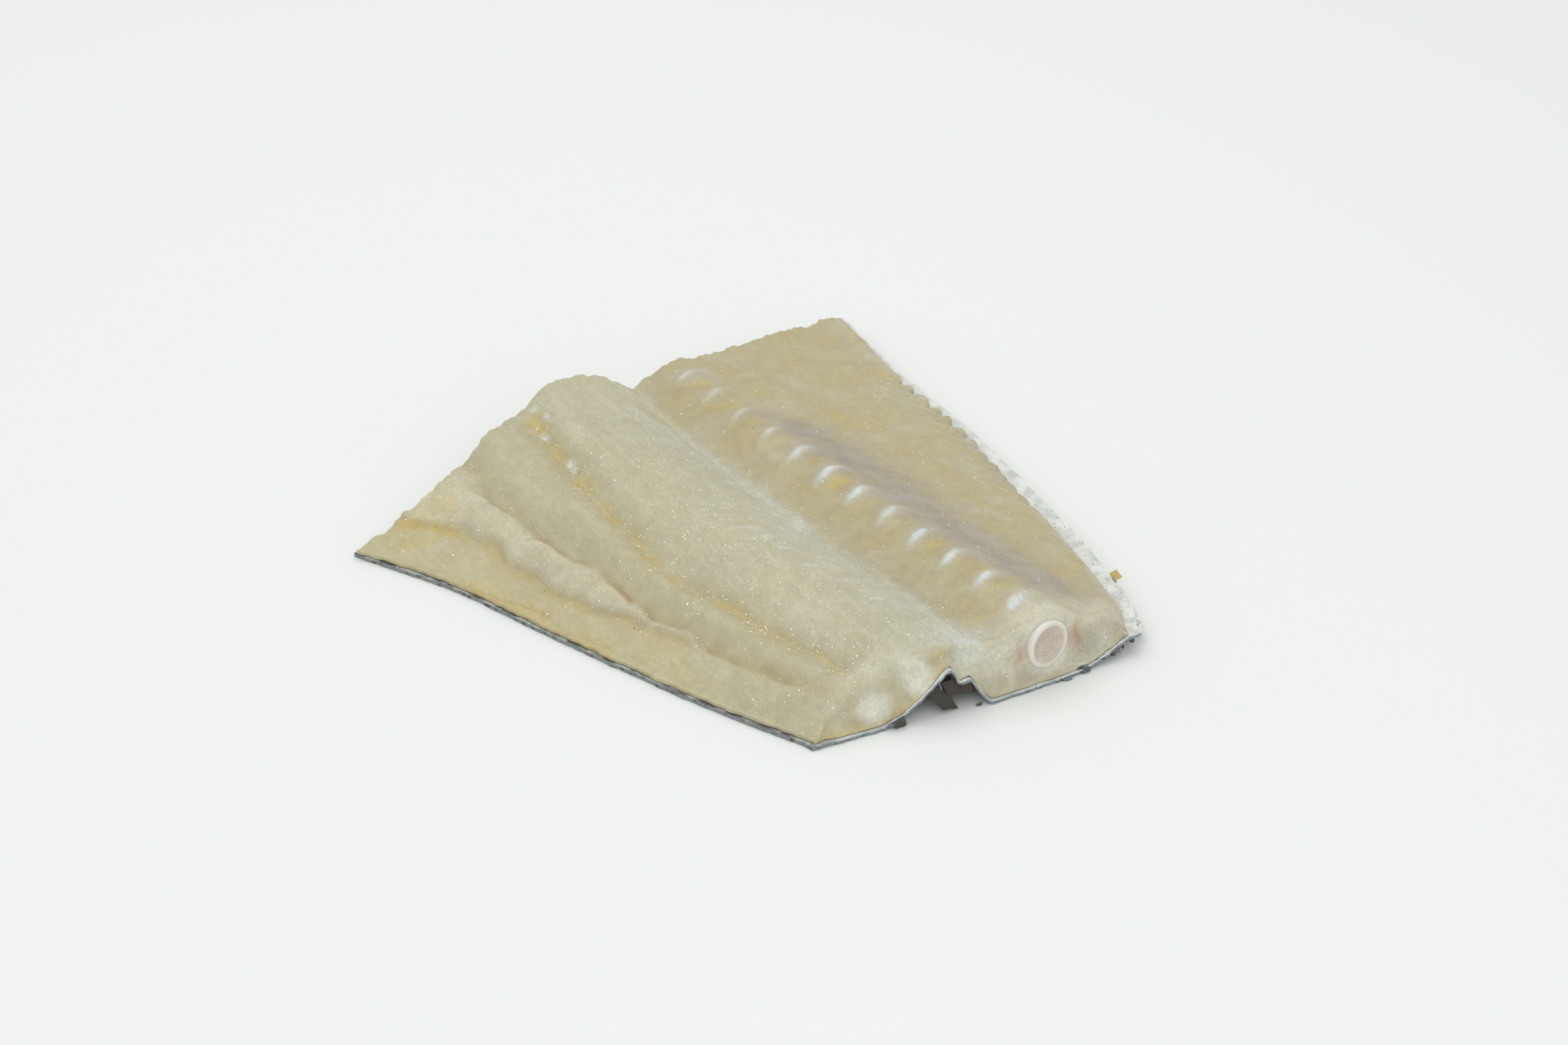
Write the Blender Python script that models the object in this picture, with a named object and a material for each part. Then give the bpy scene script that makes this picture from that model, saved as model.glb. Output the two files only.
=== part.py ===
"""A cut of salted dried cod, split open and lying skin side down.

The cut is the tail end of a cod that was opened flat: two halves of flesh on one sheet of skin. The skin
folds up between the halves into a low tunnel, and the stub of the fin hangs in that tunnel. The right half
keeps the backbone, which shows as a round vertebra in the near cut face.

Axes: +X across the fish, +Y from the tail end to the head end, +Z up. Lengths below are millimetres.
"""

import math

import bmesh
import bpy
import numpy as np
from mathutils import Matrix, Vector

MM = 0.001

# The three long lines of the cut, seen from above, each from the near cut to the far cut: the free edge of
# the left half, the fold between the halves, and the free edge of the right half.
LEFT_EDGE = ((-26.2, -81.4), (-38.6, -56.5), (-49.4, -31.0), (-59.6, -5.0), (-69.6, 21.0), (-84.0, 47.0))
FOLD = ((13.5, -84.4), (14.2, -54.5), (11.5, -23.5), (8.0, 7.5), (5.8, 38.5), (6.5, 69.5))
RIGHT_EDGE = ((64.5, -84.6), (72.8, -50.5), (77.3, -16.0), (80.2, 18.5), (80.2, 53.0), (83.0, 87.5))

# How far the far cut bows out behind the left half, how it leans to the fold and how fast it fades
FAR_BOW = 6.3
FAR_BOW_LEAN = 2.2
FAR_BOW_FADE = 5

# How far the near cut bows out in front of the right half, how it grows from the fold and eases at the edge
NEAR_BOW = 2.0
NEAR_BOW_RISE = 7.0
NEAR_BOW_EASE = 24.0
NEAR_BOW_AT_EDGE = 0.3
NEAR_BOW_FADE = 8

# Height of the upper face at even steps from the left edge to the fold, and from the fold to the right edge,
# at the near cut, half way along and at the far cut.
LEFT_HEIGHTS = (
    (2.2, 7.6, 10.8, 12.5, 13.7, 14.8, 16.0, 17.2, 15.2),
    (2.2, 5.0, 9.5, 14.0, 17.0, 18.8, 18.4, 15.8, 12.4),
    (2.4, 5.2, 8.7, 12.5, 16.0, 19.0, 20.6, 18.8, 12.2),
)
RIGHT_HEIGHTS = (
    (15.2, 14.6, 14.8, 15.3, 15.3, 13.5, 11.8, 11.2, 8.0),
    (12.4, 12.2, 13.2, 13.2, 12.4, 11.2, 9.8, 8.0, 5.2),
    (12.2, 12.6, 12.8, 12.1, 11.2, 10.2, 8.8, 7.2, 5.4),
)

# Skin
SKIN_THICKNESS = 1.2
SKIN_GAP = 0.35
RIM_LEFT = 1.0
RIM_RIGHT = 3.2
CORNER_ROUND = 9.0
CORNER_DRAW_IN = 2.2

# Roof of the tunnel at the near cut: distance from the fold, and height above the skin that lies flat.
TUNNEL_ROOF = (
    (-22.0, 0.0), (-16.5, 1.8), (-12.4, 4.8), (-8.2, 8.6), (-5.6, 10.6), (-4.0, 10.9),
    (-3.0, 9.0), (-2.2, 6.6), (-0.6, 7.0), (0.9, 7.2), (2.4, 4.8), (3.8, 2.2), (5.6, 0.3), (8.0, 0.0),
)
TUNNEL_FAR_SHARE = 0.5

# Lift of the right edge off the table
CURL_WIDTH = 18.0
CURL_NEAR, CURL_MIDDLE, CURL_FAR = 4.4, 3.0, 2.6

# Flesh
EDGE_ROUND_CUT = 2.6
EDGE_ROUND_LEFT = 7.0
EDGE_ROUND_RIGHT = 4.0
EDGE_LEAST_SHARE = 0.25
LEAST_FLESH = 1.0

# The near cut leans back: how far at its top and beside the bone, and over what length and height
CUT_SET_BACK = 2.6
CUT_SET_BACK_AT_BONE = 1.0
CUT_SET_BACK_REACH = 12.0
CUT_SET_BACK_HEIGHT = 8.0

# Backbone: the column's axis at its near and far end, and its vertebrae
BACKBONE_NEAR = Vector((35.4, -86.2, 11.2))
BACKBONE_FAR = Vector((18.8, 71.8, 8.6))
VERTEBRA_PITCH = 12.4
VERTEBRA_RADIUS = 6.3
VERTEBRA_WAIST = 5.3
VERTEBRA_RIM_SHARE = 0.12
VERTEBRA_FLATTEN = 0.9
VERTEBRA_SIDES = 14
CUP_DEPTH = 2.0
CUP_RADIUS = 4.7
CUP_STEP_RADIUS = 3.3
CUP_STEP_DEPTH = 1.1
LAST_RING_GAP = 1.0
AXIS_OVERRUN = 0.2
MERGE_DISTANCE = 0.001
BONE_GAP = 0.35
BONE_COVER = 1.1
CHANNEL_RUN_OUT = 10.0
BONE_RIDGE_WIDTH = 12.0
BONE_RIDGE_STEEPNESS = 2.0
BONE_EDGE_WIDTH = 9.0

# Troughs between the muscle bands of the left half: points of each line, its depth and its half width
TROUGHS = (
    (((-28.0, 68.0), (-28.5, 35.0), (-28.5, 0.0), (-24.5, -28.0), (-17.0, -56.0), (-9.5, -80.0)), 2.6, 4.0),
    (((-49.5, 56.0), (-46.5, 28.0), (-39.5, -2.0), (-34.0, -32.0), (-26.0, -58.0), (-18.5, -74.0)), 2.0, 4.0),
    (((-64.5, 50.0), (-55.5, 26.0), (-50.5, 5.0), (-43.0, -15.0), (-36.5, -27.0)), 1.3, 4.0),
)
TROUGH_RUN_OUT_NEAR = 4.0
TROUGH_FADE_NEAR = 9.0
TROUGH_FADE_FAR = 12.0

# Fin stub
FIN_LENGTH = 15.0
FIN_DEPTH = 8.6
FIN_THICKNESS = 1.3
FIN_START = 1.0
FIN_LEAN = 25.0
FIN_FROM_FOLD = -5.3
FIN_ABOVE_TABLE = 0.4

# How finely the faces are divided
OUTER_COLUMNS = 11
INNER_ROWS = 22
INNER_ROWS_START = 0.05
CUT_ROW_SHARES = (0.0, 0.007, 0.016, 0.03)

COLOURS = {
    "flesh": ((0.56, 0.52, 0.38, 1.0), 0.35),
    "skin": ((0.36, 0.38, 0.37, 1.0), 0.5),
    "backbone": ((0.72, 0.66, 0.60, 1.0), 0.3),
    "fin_stub": ((0.14, 0.13, 0.12, 1.0), 0.5),
}


def clear_scene():
    """Removes the objects that the scene starts with."""
    for obj in list(bpy.data.objects):
        bpy.data.objects.remove(obj)


def smooth_step(value):
    """0 up to 0, 1 from 1, and a smooth rise between them."""
    share = min(1.0, max(0.0, value))
    return share * share * (3.0 - 2.0 * share)


def smooth_through(values, share):
    """Value at share (0 to 1) of a smooth line through evenly spaced values: numbers or points."""
    values = np.asarray(values, float)
    place = min(max(share, 0.0), 1.0) * (len(values) - 1)
    index = min(int(place), len(values) - 2)
    t = place - index
    before = values[max(index - 1, 0)] if index else 2 * values[0] - values[1]
    start, end = values[index], values[index + 1]
    after = values[index + 2] if index + 2 < len(values) else 2 * values[-1] - values[-2]
    return 0.5 * (
        2 * start
        + (end - before) * t
        + (2 * before - 5 * start + 4 * end - after) * t**2
        + (3 * start - before - 3 * end + after) * t**3
    )


def row_lines(along):
    """Left edge, fold and right edge at this share of the way from the near cut to the far cut."""
    left = smooth_through(LEFT_EDGE, along)
    fold = smooth_through(FOLD, along)
    right = smooth_through(RIGHT_EDGE, along)
    near_corner = 1.0 - smooth_step(along * (RIGHT_EDGE[-1][1] - RIGHT_EDGE[0][1]) / CORNER_ROUND)
    return left, fold, right - np.array((CORNER_DRAW_IN * near_corner, 0.0))


def row_y(along, x):
    """Where the row at this share of the length runs at x."""
    left, fold, right = row_lines(along)
    place = float(np.interp(x, (left[0], fold[0], right[0]), (left[1], fold[1], right[1])))
    if x < fold[0]:
        across = max(0.0, (x - left[0]) / (fold[0] - left[0]))
        return place + FAR_BOW * math.sin(math.pi * across**FAR_BOW_LEAN) * along**FAR_BOW_FADE
    ease = smooth_step((right[0] - x) / NEAR_BOW_EASE)
    swell = smooth_step((x - fold[0]) / NEAR_BOW_RISE) * (NEAR_BOW_AT_EDGE + (1.0 - NEAR_BOW_AT_EDGE) * ease)
    return place - NEAR_BOW * swell * (1.0 - along) ** NEAR_BOW_FADE


def column_places(along, rim_left, rim_right):
    """x of each column of the row: even steps in the outer parts and the tunnel's own steps at the fold."""
    left, fold, right = row_lines(along)
    steps = [fold[0] + offset for offset, _ in TUNNEL_ROOF]
    outer_left = np.linspace(left[0] + rim_left, steps[0], OUTER_COLUMNS)[:-1]
    outer_right = np.linspace(steps[-1], right[0] - rim_right, OUTER_COLUMNS)[1:]
    return [*outer_left, *steps, *outer_right]


def row_shares():
    """Shares of the length for the rows, closer together near the two cuts."""
    inner = np.linspace(INNER_ROWS_START, 1.0 - INNER_ROWS_START, INNER_ROWS)
    return [*CUT_ROW_SHARES, *inner, *(1.0 - share for share in reversed(CUT_ROW_SHARES))]


def skin_top(along, x):
    """Height of the skin's upper face."""
    _, fold, right = row_lines(along)
    offsets, heights = zip(*TUNNEL_ROOF)
    tunnel = float(np.interp(x - fold[0], offsets, heights, left=0.0, right=0.0))
    tunnel *= 1.0 + (TUNNEL_FAR_SHARE - 1.0) * smooth_step(along)
    curl = smooth_through((CURL_NEAR, CURL_MIDDLE, CURL_FAR), along)
    return SKIN_THICKNESS + tunnel + curl * smooth_step(1.0 - (right[0] - x) / CURL_WIDTH)


def line_x(points, y):
    """x of a long line at y, the line being given by points in order of y, up or down."""
    ordered = sorted((py, px) for px, py in points)
    return float(np.interp(y, *zip(*ordered)))


def trough_depth(x, y):
    """How far the troughs between the muscle bands lower the upper face here."""
    depth = 0.0
    for points, deepest, half_width in TROUGHS:
        ends = sorted(py for _, py in points)
        near_fade = smooth_step((y - ends[0] + TROUGH_RUN_OUT_NEAR) / TROUGH_FADE_NEAR)
        fade = near_fade * smooth_step((ends[-1] + TROUGH_FADE_FAR - y) / TROUGH_FADE_FAR)
        offset = (x - line_x(points, y)) / half_width
        depth += deepest * fade * math.exp(-offset * offset)
    return depth


def backbone_at(y):
    """Centre of the backbone column at y."""
    share = (y - BACKBONE_NEAR.y) / (BACKBONE_FAR.y - BACKBONE_NEAR.y)
    return BACKBONE_NEAR.lerp(BACKBONE_FAR, min(1.0 + AXIS_OVERRUN, max(-AXIS_OVERRUN, share)))


def flesh_top(along, x, y):
    """Height of the upper face of the flesh, before its edges are rounded."""
    left, fold, right = row_lines(along)
    if x < fold[0]:
        heights, across = LEFT_HEIGHTS, (x - left[0]) / (fold[0] - left[0])
    else:
        heights, across = RIGHT_HEIGHTS, (x - fold[0]) / (right[0] - fold[0])
    height = smooth_through([smooth_through(section, across) for section in heights], along)
    height -= trough_depth(x, y)
    bone = backbone_at(y)
    cover = bone.z + VERTEBRA_RADIUS + BONE_COVER
    near_bone = math.exp(-(((x - bone.x) / BONE_RIDGE_WIDTH) ** 2) * BONE_RIDGE_STEEPNESS)
    return height + max(0.0, cover - height) * near_bone


def edge_share(distance, rounding):
    """Share of the full thickness at this distance from an edge: least at the edge, 1 past its rounding."""
    inside = min(1.0, max(0.0, distance / rounding))
    return EDGE_LEAST_SHARE + (1.0 - EDGE_LEAST_SHARE) * math.sqrt(1.0 - (1.0 - inside) ** 2)


def grid_solid(name, rim_left, rim_right, upper, lower):
    """A closed body between an upper and a lower face over the cut's outline.

    upper and lower give the place of a point from the row's share of the length and its x and y.
    """
    shares = row_shares()
    places = [column_places(share, rim_left, rim_right) for share in shares]
    columns = len(places[0])
    body = bmesh.new()
    marks = body.verts.layers.int.new("cell")
    bmesh.ops.create_grid(body, x_segments=columns - 1, y_segments=len(shares) - 1, size=0.5)
    below = list(body.verts)
    cells = []
    for index, vert in enumerate(below):
        column = round((vert.co.x + 0.5) * (columns - 1))
        row = round((vert.co.y + 0.5) * (len(shares) - 1))
        cells.append((shares[row], places[row][column]))
        vert[marks] = index
    lifted = bmesh.ops.extrude_face_region(body, geom=list(body.faces), use_keep_orig=True)
    above = [item for item in lifted["geom"] if isinstance(item, bmesh.types.BMVert)]
    for vert in above:
        share, x = cells[vert[marks]]
        vert.co = Vector(upper(share, x, row_y(share, x))) * MM
    for vert in below:
        share, x = cells[vert[marks]]
        vert.co = Vector(lower(share, x, row_y(share, x))) * MM
    bmesh.ops.recalc_face_normals(body, faces=list(body.faces))
    bmesh.ops.triangulate(body, faces=list(body.faces))
    mesh = bpy.data.meshes.new(name)
    body.to_mesh(mesh)
    body.free()
    obj = bpy.data.objects.new(name, mesh)
    return obj


def make_skin():
    """The sheet of skin under both halves, with the tunnel between them."""

    def top(along, x, y):
        return x, y, skin_top(along, x)

    def bottom(along, x, y):
        return x, y, skin_top(along, x) - SKIN_THICKNESS

    return grid_solid("skin", 0.0, 0.0, top, bottom)


def make_flesh():
    """Both halves of flesh as one body on the skin."""

    def floor(along, x):
        return skin_top(along, x) + SKIN_GAP

    def top(along, x, y):
        left, fold, right = row_lines(along)
        near = y - row_y(0.0, x)
        far = row_y(1.0, x) - y
        share = (
            edge_share(min(near, far), EDGE_ROUND_CUT)
            * edge_share(x - left[0] - RIM_LEFT, EDGE_ROUND_LEFT)
            * edge_share(right[0] - RIM_RIGHT - x, EDGE_ROUND_RIGHT)
        )
        base = floor(along, x)
        height = base + max(LEAST_FLESH, (flesh_top(along, x, y) - base) * share)
        by_bone = math.exp(-(((x - backbone_at(y).x) / BONE_EDGE_WIDTH) ** 2))
        deepest = CUT_SET_BACK + (CUT_SET_BACK_AT_BONE - CUT_SET_BACK) * by_bone
        lean = smooth_step((height - base) / CUT_SET_BACK_HEIGHT)
        set_back = deepest * (1.0 - smooth_step(near / CUT_SET_BACK_REACH)) * lean
        return x, y + set_back, height

    def bottom(along, x, y):
        return x, y, floor(along, x)

    return grid_solid("flesh", RIM_LEFT, RIM_RIGHT, top, bottom)


def column_profile(length):
    """Turned outline of the backbone, from the axis at the near end to the axis at the far end."""
    points = [(0.0, CUP_DEPTH), (CUP_STEP_RADIUS, CUP_STEP_DEPTH), (CUP_RADIUS, 0.0), (VERTEBRA_RADIUS, 0.0)]
    ring_shares = (VERTEBRA_RIM_SHARE, 0.5, 1.0 - VERTEBRA_RIM_SHARE)
    ring_radii = (VERTEBRA_RADIUS, VERTEBRA_WAIST, VERTEBRA_RADIUS)
    joints = int(length // VERTEBRA_PITCH)
    for joint in range(joints + 1):
        start = joint * VERTEBRA_PITCH
        for share, radius in zip(ring_shares, ring_radii):
            if start + share * VERTEBRA_PITCH < length - LAST_RING_GAP:
                points.append((radius, start + share * VERTEBRA_PITCH))
    return [*points, (points[-1][0], length), (0.0, length)]


def turned(name, profile, run_out):
    """A body turned about the backbone's axis, its outline starting run_out before the near end."""
    axis = BACKBONE_FAR - BACKBONE_NEAR
    body = bmesh.new()
    ring = [body.verts.new((radius, 0.0, place)) for radius, place in profile]
    edges = [body.edges.new(pair) for pair in zip(ring, ring[1:])]
    bmesh.ops.spin(
        body,
        geom=ring + edges,
        cent=(0, 0, 0),
        axis=(0, 0, 1),
        angle=math.tau,
        steps=VERTEBRA_SIDES,
        use_merge=True,
    )
    bmesh.ops.remove_doubles(body, verts=list(body.verts), dist=MERGE_DISTANCE)
    bmesh.ops.recalc_face_normals(body, faces=list(body.faces))
    turn = axis.to_track_quat("Z", "Y").to_matrix().to_4x4()
    start = BACKBONE_NEAR - axis.normalized() * run_out
    flatten = Matrix.Scale(VERTEBRA_FLATTEN, 4, (1, 0, 0))
    place = Matrix.Scale(MM, 4) @ Matrix.Translation(start) @ turn @ flatten
    bmesh.ops.transform(body, matrix=place, verts=body.verts)
    mesh = bpy.data.meshes.new(name)
    body.to_mesh(mesh)
    body.free()
    return bpy.data.objects.new(name, mesh)


def make_backbone():
    """The column of vertebrae, cut square at both ends, with the hollow of a vertebra in its near end."""
    return turned("backbone", column_profile((BACKBONE_FAR - BACKBONE_NEAR).length), 0.0)


def make_channel():
    """The cutter for the backbone's channel through the flesh, a little wider than the backbone."""
    length = (BACKBONE_FAR - BACKBONE_NEAR).length + 2 * CHANNEL_RUN_OUT
    radius = VERTEBRA_RADIUS + BONE_GAP
    profile = [(0.0, 0.0), (radius, 0.0), (radius, length), (0.0, length)]
    return turned("backbone_channel", profile, CHANNEL_RUN_OUT)


def make_fin_stub():
    """The stub of the fin: a thin blade that hangs from the tunnel's roof and leans to the right."""
    body = bmesh.new()
    bmesh.ops.create_cube(body, size=1.0)
    bmesh.ops.scale(body, vec=(FIN_THICKNESS, FIN_LENGTH, FIN_DEPTH), verts=body.verts)
    bmesh.ops.transform(body, matrix=Matrix.Rotation(math.radians(-FIN_LEAN), 4, "Y"), verts=body.verts)
    low = min(vert.co.z for vert in body.verts)
    middle = FOLD[0][1] + FIN_START + FIN_LENGTH / 2
    place = Vector((FOLD[0][0] + FIN_FROM_FOLD, middle, FIN_ABOVE_TABLE - low))
    bmesh.ops.transform(body, matrix=Matrix.Scale(MM, 4) @ Matrix.Translation(place), verts=body.verts)
    mesh = bpy.data.meshes.new("fin_stub")
    body.to_mesh(mesh)
    body.free()
    return bpy.data.objects.new("fin_stub", mesh)


def paint(obj):
    """Gives the object its own material."""
    colour, roughness = COLOURS[obj.name]
    material = bpy.data.materials.new(obj.name)
    material.use_nodes = True
    shader = material.node_tree.nodes["Principled BSDF"]
    shader.inputs["Base Color"].default_value = colour
    shader.inputs["Roughness"].default_value = roughness
    shader.inputs["Metallic"].default_value = 0.0
    obj.data.materials.append(material)


def link_all(parts, cutters):
    """Puts the parts in one collection and the cutters in another that isn't rendered."""
    scene = bpy.context.scene.collection
    for title, members in (("salted cod", parts), ("cutters", cutters)):
        collection = bpy.data.collections.new(title)
        scene.children.link(collection)
        for obj in members:
            collection.objects.link(obj)
    for obj in cutters:
        obj.hide_render = True
        obj.display_type = "WIRE"


def centre(objects, parts):
    """Moves every mesh so that the origin is at the centre of the parts' box, at its foot."""
    corners = [vert.co for obj in parts for vert in obj.data.vertices]
    low = [min(corner[axis] for corner in corners) for axis in range(3)]
    high = [max(corner[axis] for corner in corners) for axis in range(3)]
    shift = Matrix.Translation((-(low[0] + high[0]) / 2, -(low[1] + high[1]) / 2, -low[2]))
    for obj in objects:
        obj.data.transform(shift)


def cut(obj, cutter):
    """Cuts the cutter's shape out of the object."""
    modifier = obj.modifiers.new("backbone channel", "BOOLEAN")
    modifier.operation = "DIFFERENCE"
    modifier.solver = "EXACT"
    modifier.object = cutter


def main():
    clear_scene()
    flesh = make_flesh()
    skin = make_skin()
    backbone = make_backbone()
    fin = make_fin_stub()
    channel = make_channel()
    parts = [flesh, skin, backbone, fin]
    centre([*parts, channel], parts)
    link_all(parts, [channel])
    cut(flesh, channel)
    for obj in parts:
        paint(obj)


main()
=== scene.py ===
"""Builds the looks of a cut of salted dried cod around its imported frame.

The cut is laid out as one sheet of skin, the flesh on it, the backbone in the right half and the fin stub
in the fold under the middle. Lengths in the shape functions are millimetres, and the plan is the frame's.
"""

import math

import bpy
import numpy as np
from bpy.props import FloatProperty, FloatVectorProperty, IntProperty, PointerProperty
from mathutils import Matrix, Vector


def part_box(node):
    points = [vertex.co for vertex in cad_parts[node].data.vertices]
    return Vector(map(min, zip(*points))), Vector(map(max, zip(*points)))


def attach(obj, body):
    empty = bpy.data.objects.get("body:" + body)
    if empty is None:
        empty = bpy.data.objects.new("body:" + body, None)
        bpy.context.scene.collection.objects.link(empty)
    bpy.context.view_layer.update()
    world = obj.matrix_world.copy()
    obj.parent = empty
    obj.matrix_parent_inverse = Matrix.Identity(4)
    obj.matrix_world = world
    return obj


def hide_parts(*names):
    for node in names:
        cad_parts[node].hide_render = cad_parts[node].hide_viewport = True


bl_info = {
    "name": "Salted Cod Cut",
    "version": (1, 0, 0),
    "blender": (4, 5, 0),
    "location": "3D View > Sidebar > Salted Cod",
    "description": "Makes a split cut of salted dried cod with its flesh, skin, backbone, fin stub and salt",
    "category": "Add Mesh",
}

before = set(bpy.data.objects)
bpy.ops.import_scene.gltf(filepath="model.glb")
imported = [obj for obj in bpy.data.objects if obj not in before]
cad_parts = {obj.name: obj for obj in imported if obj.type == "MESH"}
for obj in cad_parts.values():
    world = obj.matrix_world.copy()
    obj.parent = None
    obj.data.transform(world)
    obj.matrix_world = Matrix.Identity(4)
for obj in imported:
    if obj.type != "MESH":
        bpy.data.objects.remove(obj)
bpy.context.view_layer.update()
MM = 0.001

# Stage: azimuth and elevation of the camera in degrees, where it looks, and the lamps' place, size and power
CAMERA_TURN = (-30.0, 32.0)
CAMERA_TARGET = (0.018, 0.0071, 0.0)
SENSOR_WIDTH = 36.0
WORLD_STRENGTH = 0.76
LAMPS = (
    ("key", (0.05, 0.3, 1.0), 0.9, 3.4),
    ("fill", (-0.3, -0.8, 0.7), 0.9, 2.6),
)

# Plan lines from the near cut to the far cut: left edge, fold between the halves, right edge
LEFT_EDGE = ((-26.2, -81.4), (-38.6, -56.5), (-49.4, -31.0), (-59.6, -5.0), (-69.6, 21.0), (-84.0, 47.0))
FOLD = ((13.5, -84.4), (14.2, -54.5), (11.5, -23.5), (8.0, 7.5), (5.8, 38.5), (6.5, 69.5))
RIGHT_EDGE = ((64.5, -84.6), (72.8, -50.5), (77.3, -16.0), (80.2, 18.5), (80.2, 53.0), (83.0, 87.5))
PLAN_LENGTH = 172.0
SKIN_TOP_LEAST = 1.2
FLESH_OVER_SKIN = 0.3
CORNER_DRAW_IN = 2.2
CORNER_LENGTH = 9.0
FAR_BOW = 6.3
NEAR_BOW = 2.0

# Height of the upper face across each half, at the near cut, half way and at the far cut
LEFT_HEIGHTS = (
    (2.2, 7.6, 10.8, 12.5, 13.7, 14.8, 16.0, 17.2, 15.2),
    (2.2, 5.0, 9.5, 14.0, 17.0, 18.8, 18.4, 15.8, 12.4),
    (2.4, 5.2, 8.7, 12.5, 16.0, 19.0, 20.6, 18.8, 12.2),
)
RIGHT_HEIGHTS = (
    (15.2, 14.6, 14.8, 15.3, 15.3, 13.5, 11.8, 11.2, 8.0),
    (12.4, 12.2, 13.2, 13.2, 12.4, 11.2, 9.8, 8.0, 5.2),
    (12.2, 12.6, 12.8, 12.1, 11.2, 10.2, 8.8, 7.2, 5.4),
)

# Roof of the tunnel under the fold: distance from the fold, and height
TUNNEL_ROOF = (
    (-22.0, 0.0), (-16.5, 1.8), (-12.4, 4.8), (-8.2, 8.6), (-5.6, 10.6), (-4.0, 10.9),
    (-3.0, 9.0), (-2.2, 6.6), (-0.6, 7.0), (0.9, 7.2), (2.4, 4.8), (3.8, 2.2), (5.6, 0.3), (8.0, 0.0),
)
TUNNEL_FAR_SHARE = 0.5
CURL_WIDTH = 18.0
CURL_HEIGHTS = (4.4, 3.0, 2.6)

# Rows of points down the near cut, down the far cut and round each rim
NEAR_FACE_ROWS = 34
FAR_FACE_ROWS = 16
RIM_ROWS = 7

# Backbone
BACKBONE_NEAR = (35.4, -86.2, 11.2)
BACKBONE_FAR = (18.8, 71.8, 8.6)
VERTEBRA_RADIUS = 6.3
VERTEBRA_PITCH = 12.45
VERTEBRA_SIDES = 72
BONE_WIDTH_SHARE = 0.92
FLESH_OVER_BONE = 0.9
FIRST_ARCH = -75.3
ARCHES = 12

# Lines of the muscle bands in the left half, from the far cut to the near cut
SEAM = (
    (-26.0, 60.0), (-27.6, 52.0), (-28.4, 42.0), (-28.2, 33.0), (-29.2, 25.0), (-29.5, 12.5), (-28.6, 2.5),
    (-29.3, -13.5), (-26.5, -24.5), (-22.7, -32.5), (-21.5, -40.5), (-19.3, -48.5), (-16.5, -56.5),
    (-13.6, -63.0), (-11.0, -79.0),
)
TORN_CREASE = (
    (-49.5, 62.0), (-47.6, 51.5), (-49.3, 37.5), (-46.6, 30.5), (-45.2, 15.5), (-42.7, 5.5), (-39.4, -1.5),
    (-38.6, -15.5), (-36.4, -26.5), (-32.6, -36.5), (-31.3, -45.5), (-28.4, -52.5), (-23.7, -63.5),
    (-19.5, -73.0),
)
LOBED_CREASE = (
    (-70.5, 55.0), (-68.0, 48.0), (-63.5, 42.0), (-58.0, 35.5), (-55.0, 27.5), (-54.2, 18.5), (-51.2, 7.5),
    (-49.0, -2.5), (-44.3, -12.5), (-41.0, -19.5), (-37.5, -28.5), (-35.0, -37.0),
)
MARGIN_LINE = (
    (-76.0, 31.0), (-72.5, 23.5), (-67.5, 18.5), (-62.5, 8.5), (-56.5, -3.5), (-54.5, -14.5), (-49.0, -25.0),
)
VALLEY = (
    (7.5, 70.5), (5.5, 52.5), (5.5, 37.5), (6.5, 20.5), (8.5, 7.5), (9.5, -7.5), (10.5, -21.5), (12.5, -30.5),
    (13.5, -40.5), (14.5, -45.5), (15.5, -53.5), (16.5, -62.5), (17.5, -75.0),
)
TROUGHS = (
    (((-28.0, 68.0), (-28.5, 35.0), (-28.5, 0.0), (-24.5, -28.0), (-17.0, -56.0), (-9.5, -80.0)), 2.3, 4.4),
    (((-49.5, 56.0), (-46.5, 28.0), (-39.5, -2.0), (-34.0, -32.0), (-26.0, -58.0), (-18.5, -74.0)), 2.0, 4.0),
    (((-64.5, 50.0), (-55.5, 26.0), (-50.5, 5.0), (-43.0, -15.0), (-36.5, -27.0)), 1.3, 4.0),
)

# Muscle bundles that show in the near cut: x, height, half width, half height, and how clear they are
BUNDLES = (
    (-9.6, 5.8, 5.4, 4.4, 0.85), (1.6, 11.0, 4.8, 5.6, 0.8), (21.5, 5.0, 4.4, 3.6, 0.8),
    (29.0, 4.6, 5.2, 3.4, 0.9), (36.5, 3.0, 4.2, 2.2, 0.5), (47.0, 7.4, 6.6, 4.4, 1.0),
    (56.5, 6.6, 5.0, 4.0, 0.8), (52.5, 9.4, 3.4, 2.4, 0.4), (14.5, 12.6, 3.4, 3.0, 0.2),
)

# The same for the far cut
FAR_BUNDLES = (
    (-46.0, 4.4, 6.0, 2.8, 0.6), (-33.0, 6.4, 6.6, 4.4, 0.7), (-19.0, 9.0, 6.6, 5.4, 0.8),
    (-5.0, 12.0, 6.4, 4.6, 0.7), (6.0, 8.4, 4.4, 3.0, 0.4), (32.0, 7.4, 5.2, 4.6, 0.9),
    (43.5, 6.4, 5.6, 4.2, 0.9), (55.0, 5.6, 5.6, 3.6, 0.7), (67.0, 5.0, 5.2, 2.6, 0.5),
)


def smooth_step(value):
    """0 up to 0, 1 from 1, and a smooth rise between them."""
    share = np.clip(value, 0.0, 1.0)
    return share * share * (3.0 - 2.0 * share)


def bell(distance, half_width):
    """1 at no distance, and little left past twice the half width."""
    return np.exp(-((distance / half_width) ** 2))


def spot(x, y, centre, half_width, half_length=None):
    """A soft round or oval spot."""
    return bell(x - centre[0], half_width) * bell(y - centre[1], half_length or half_width)


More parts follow.
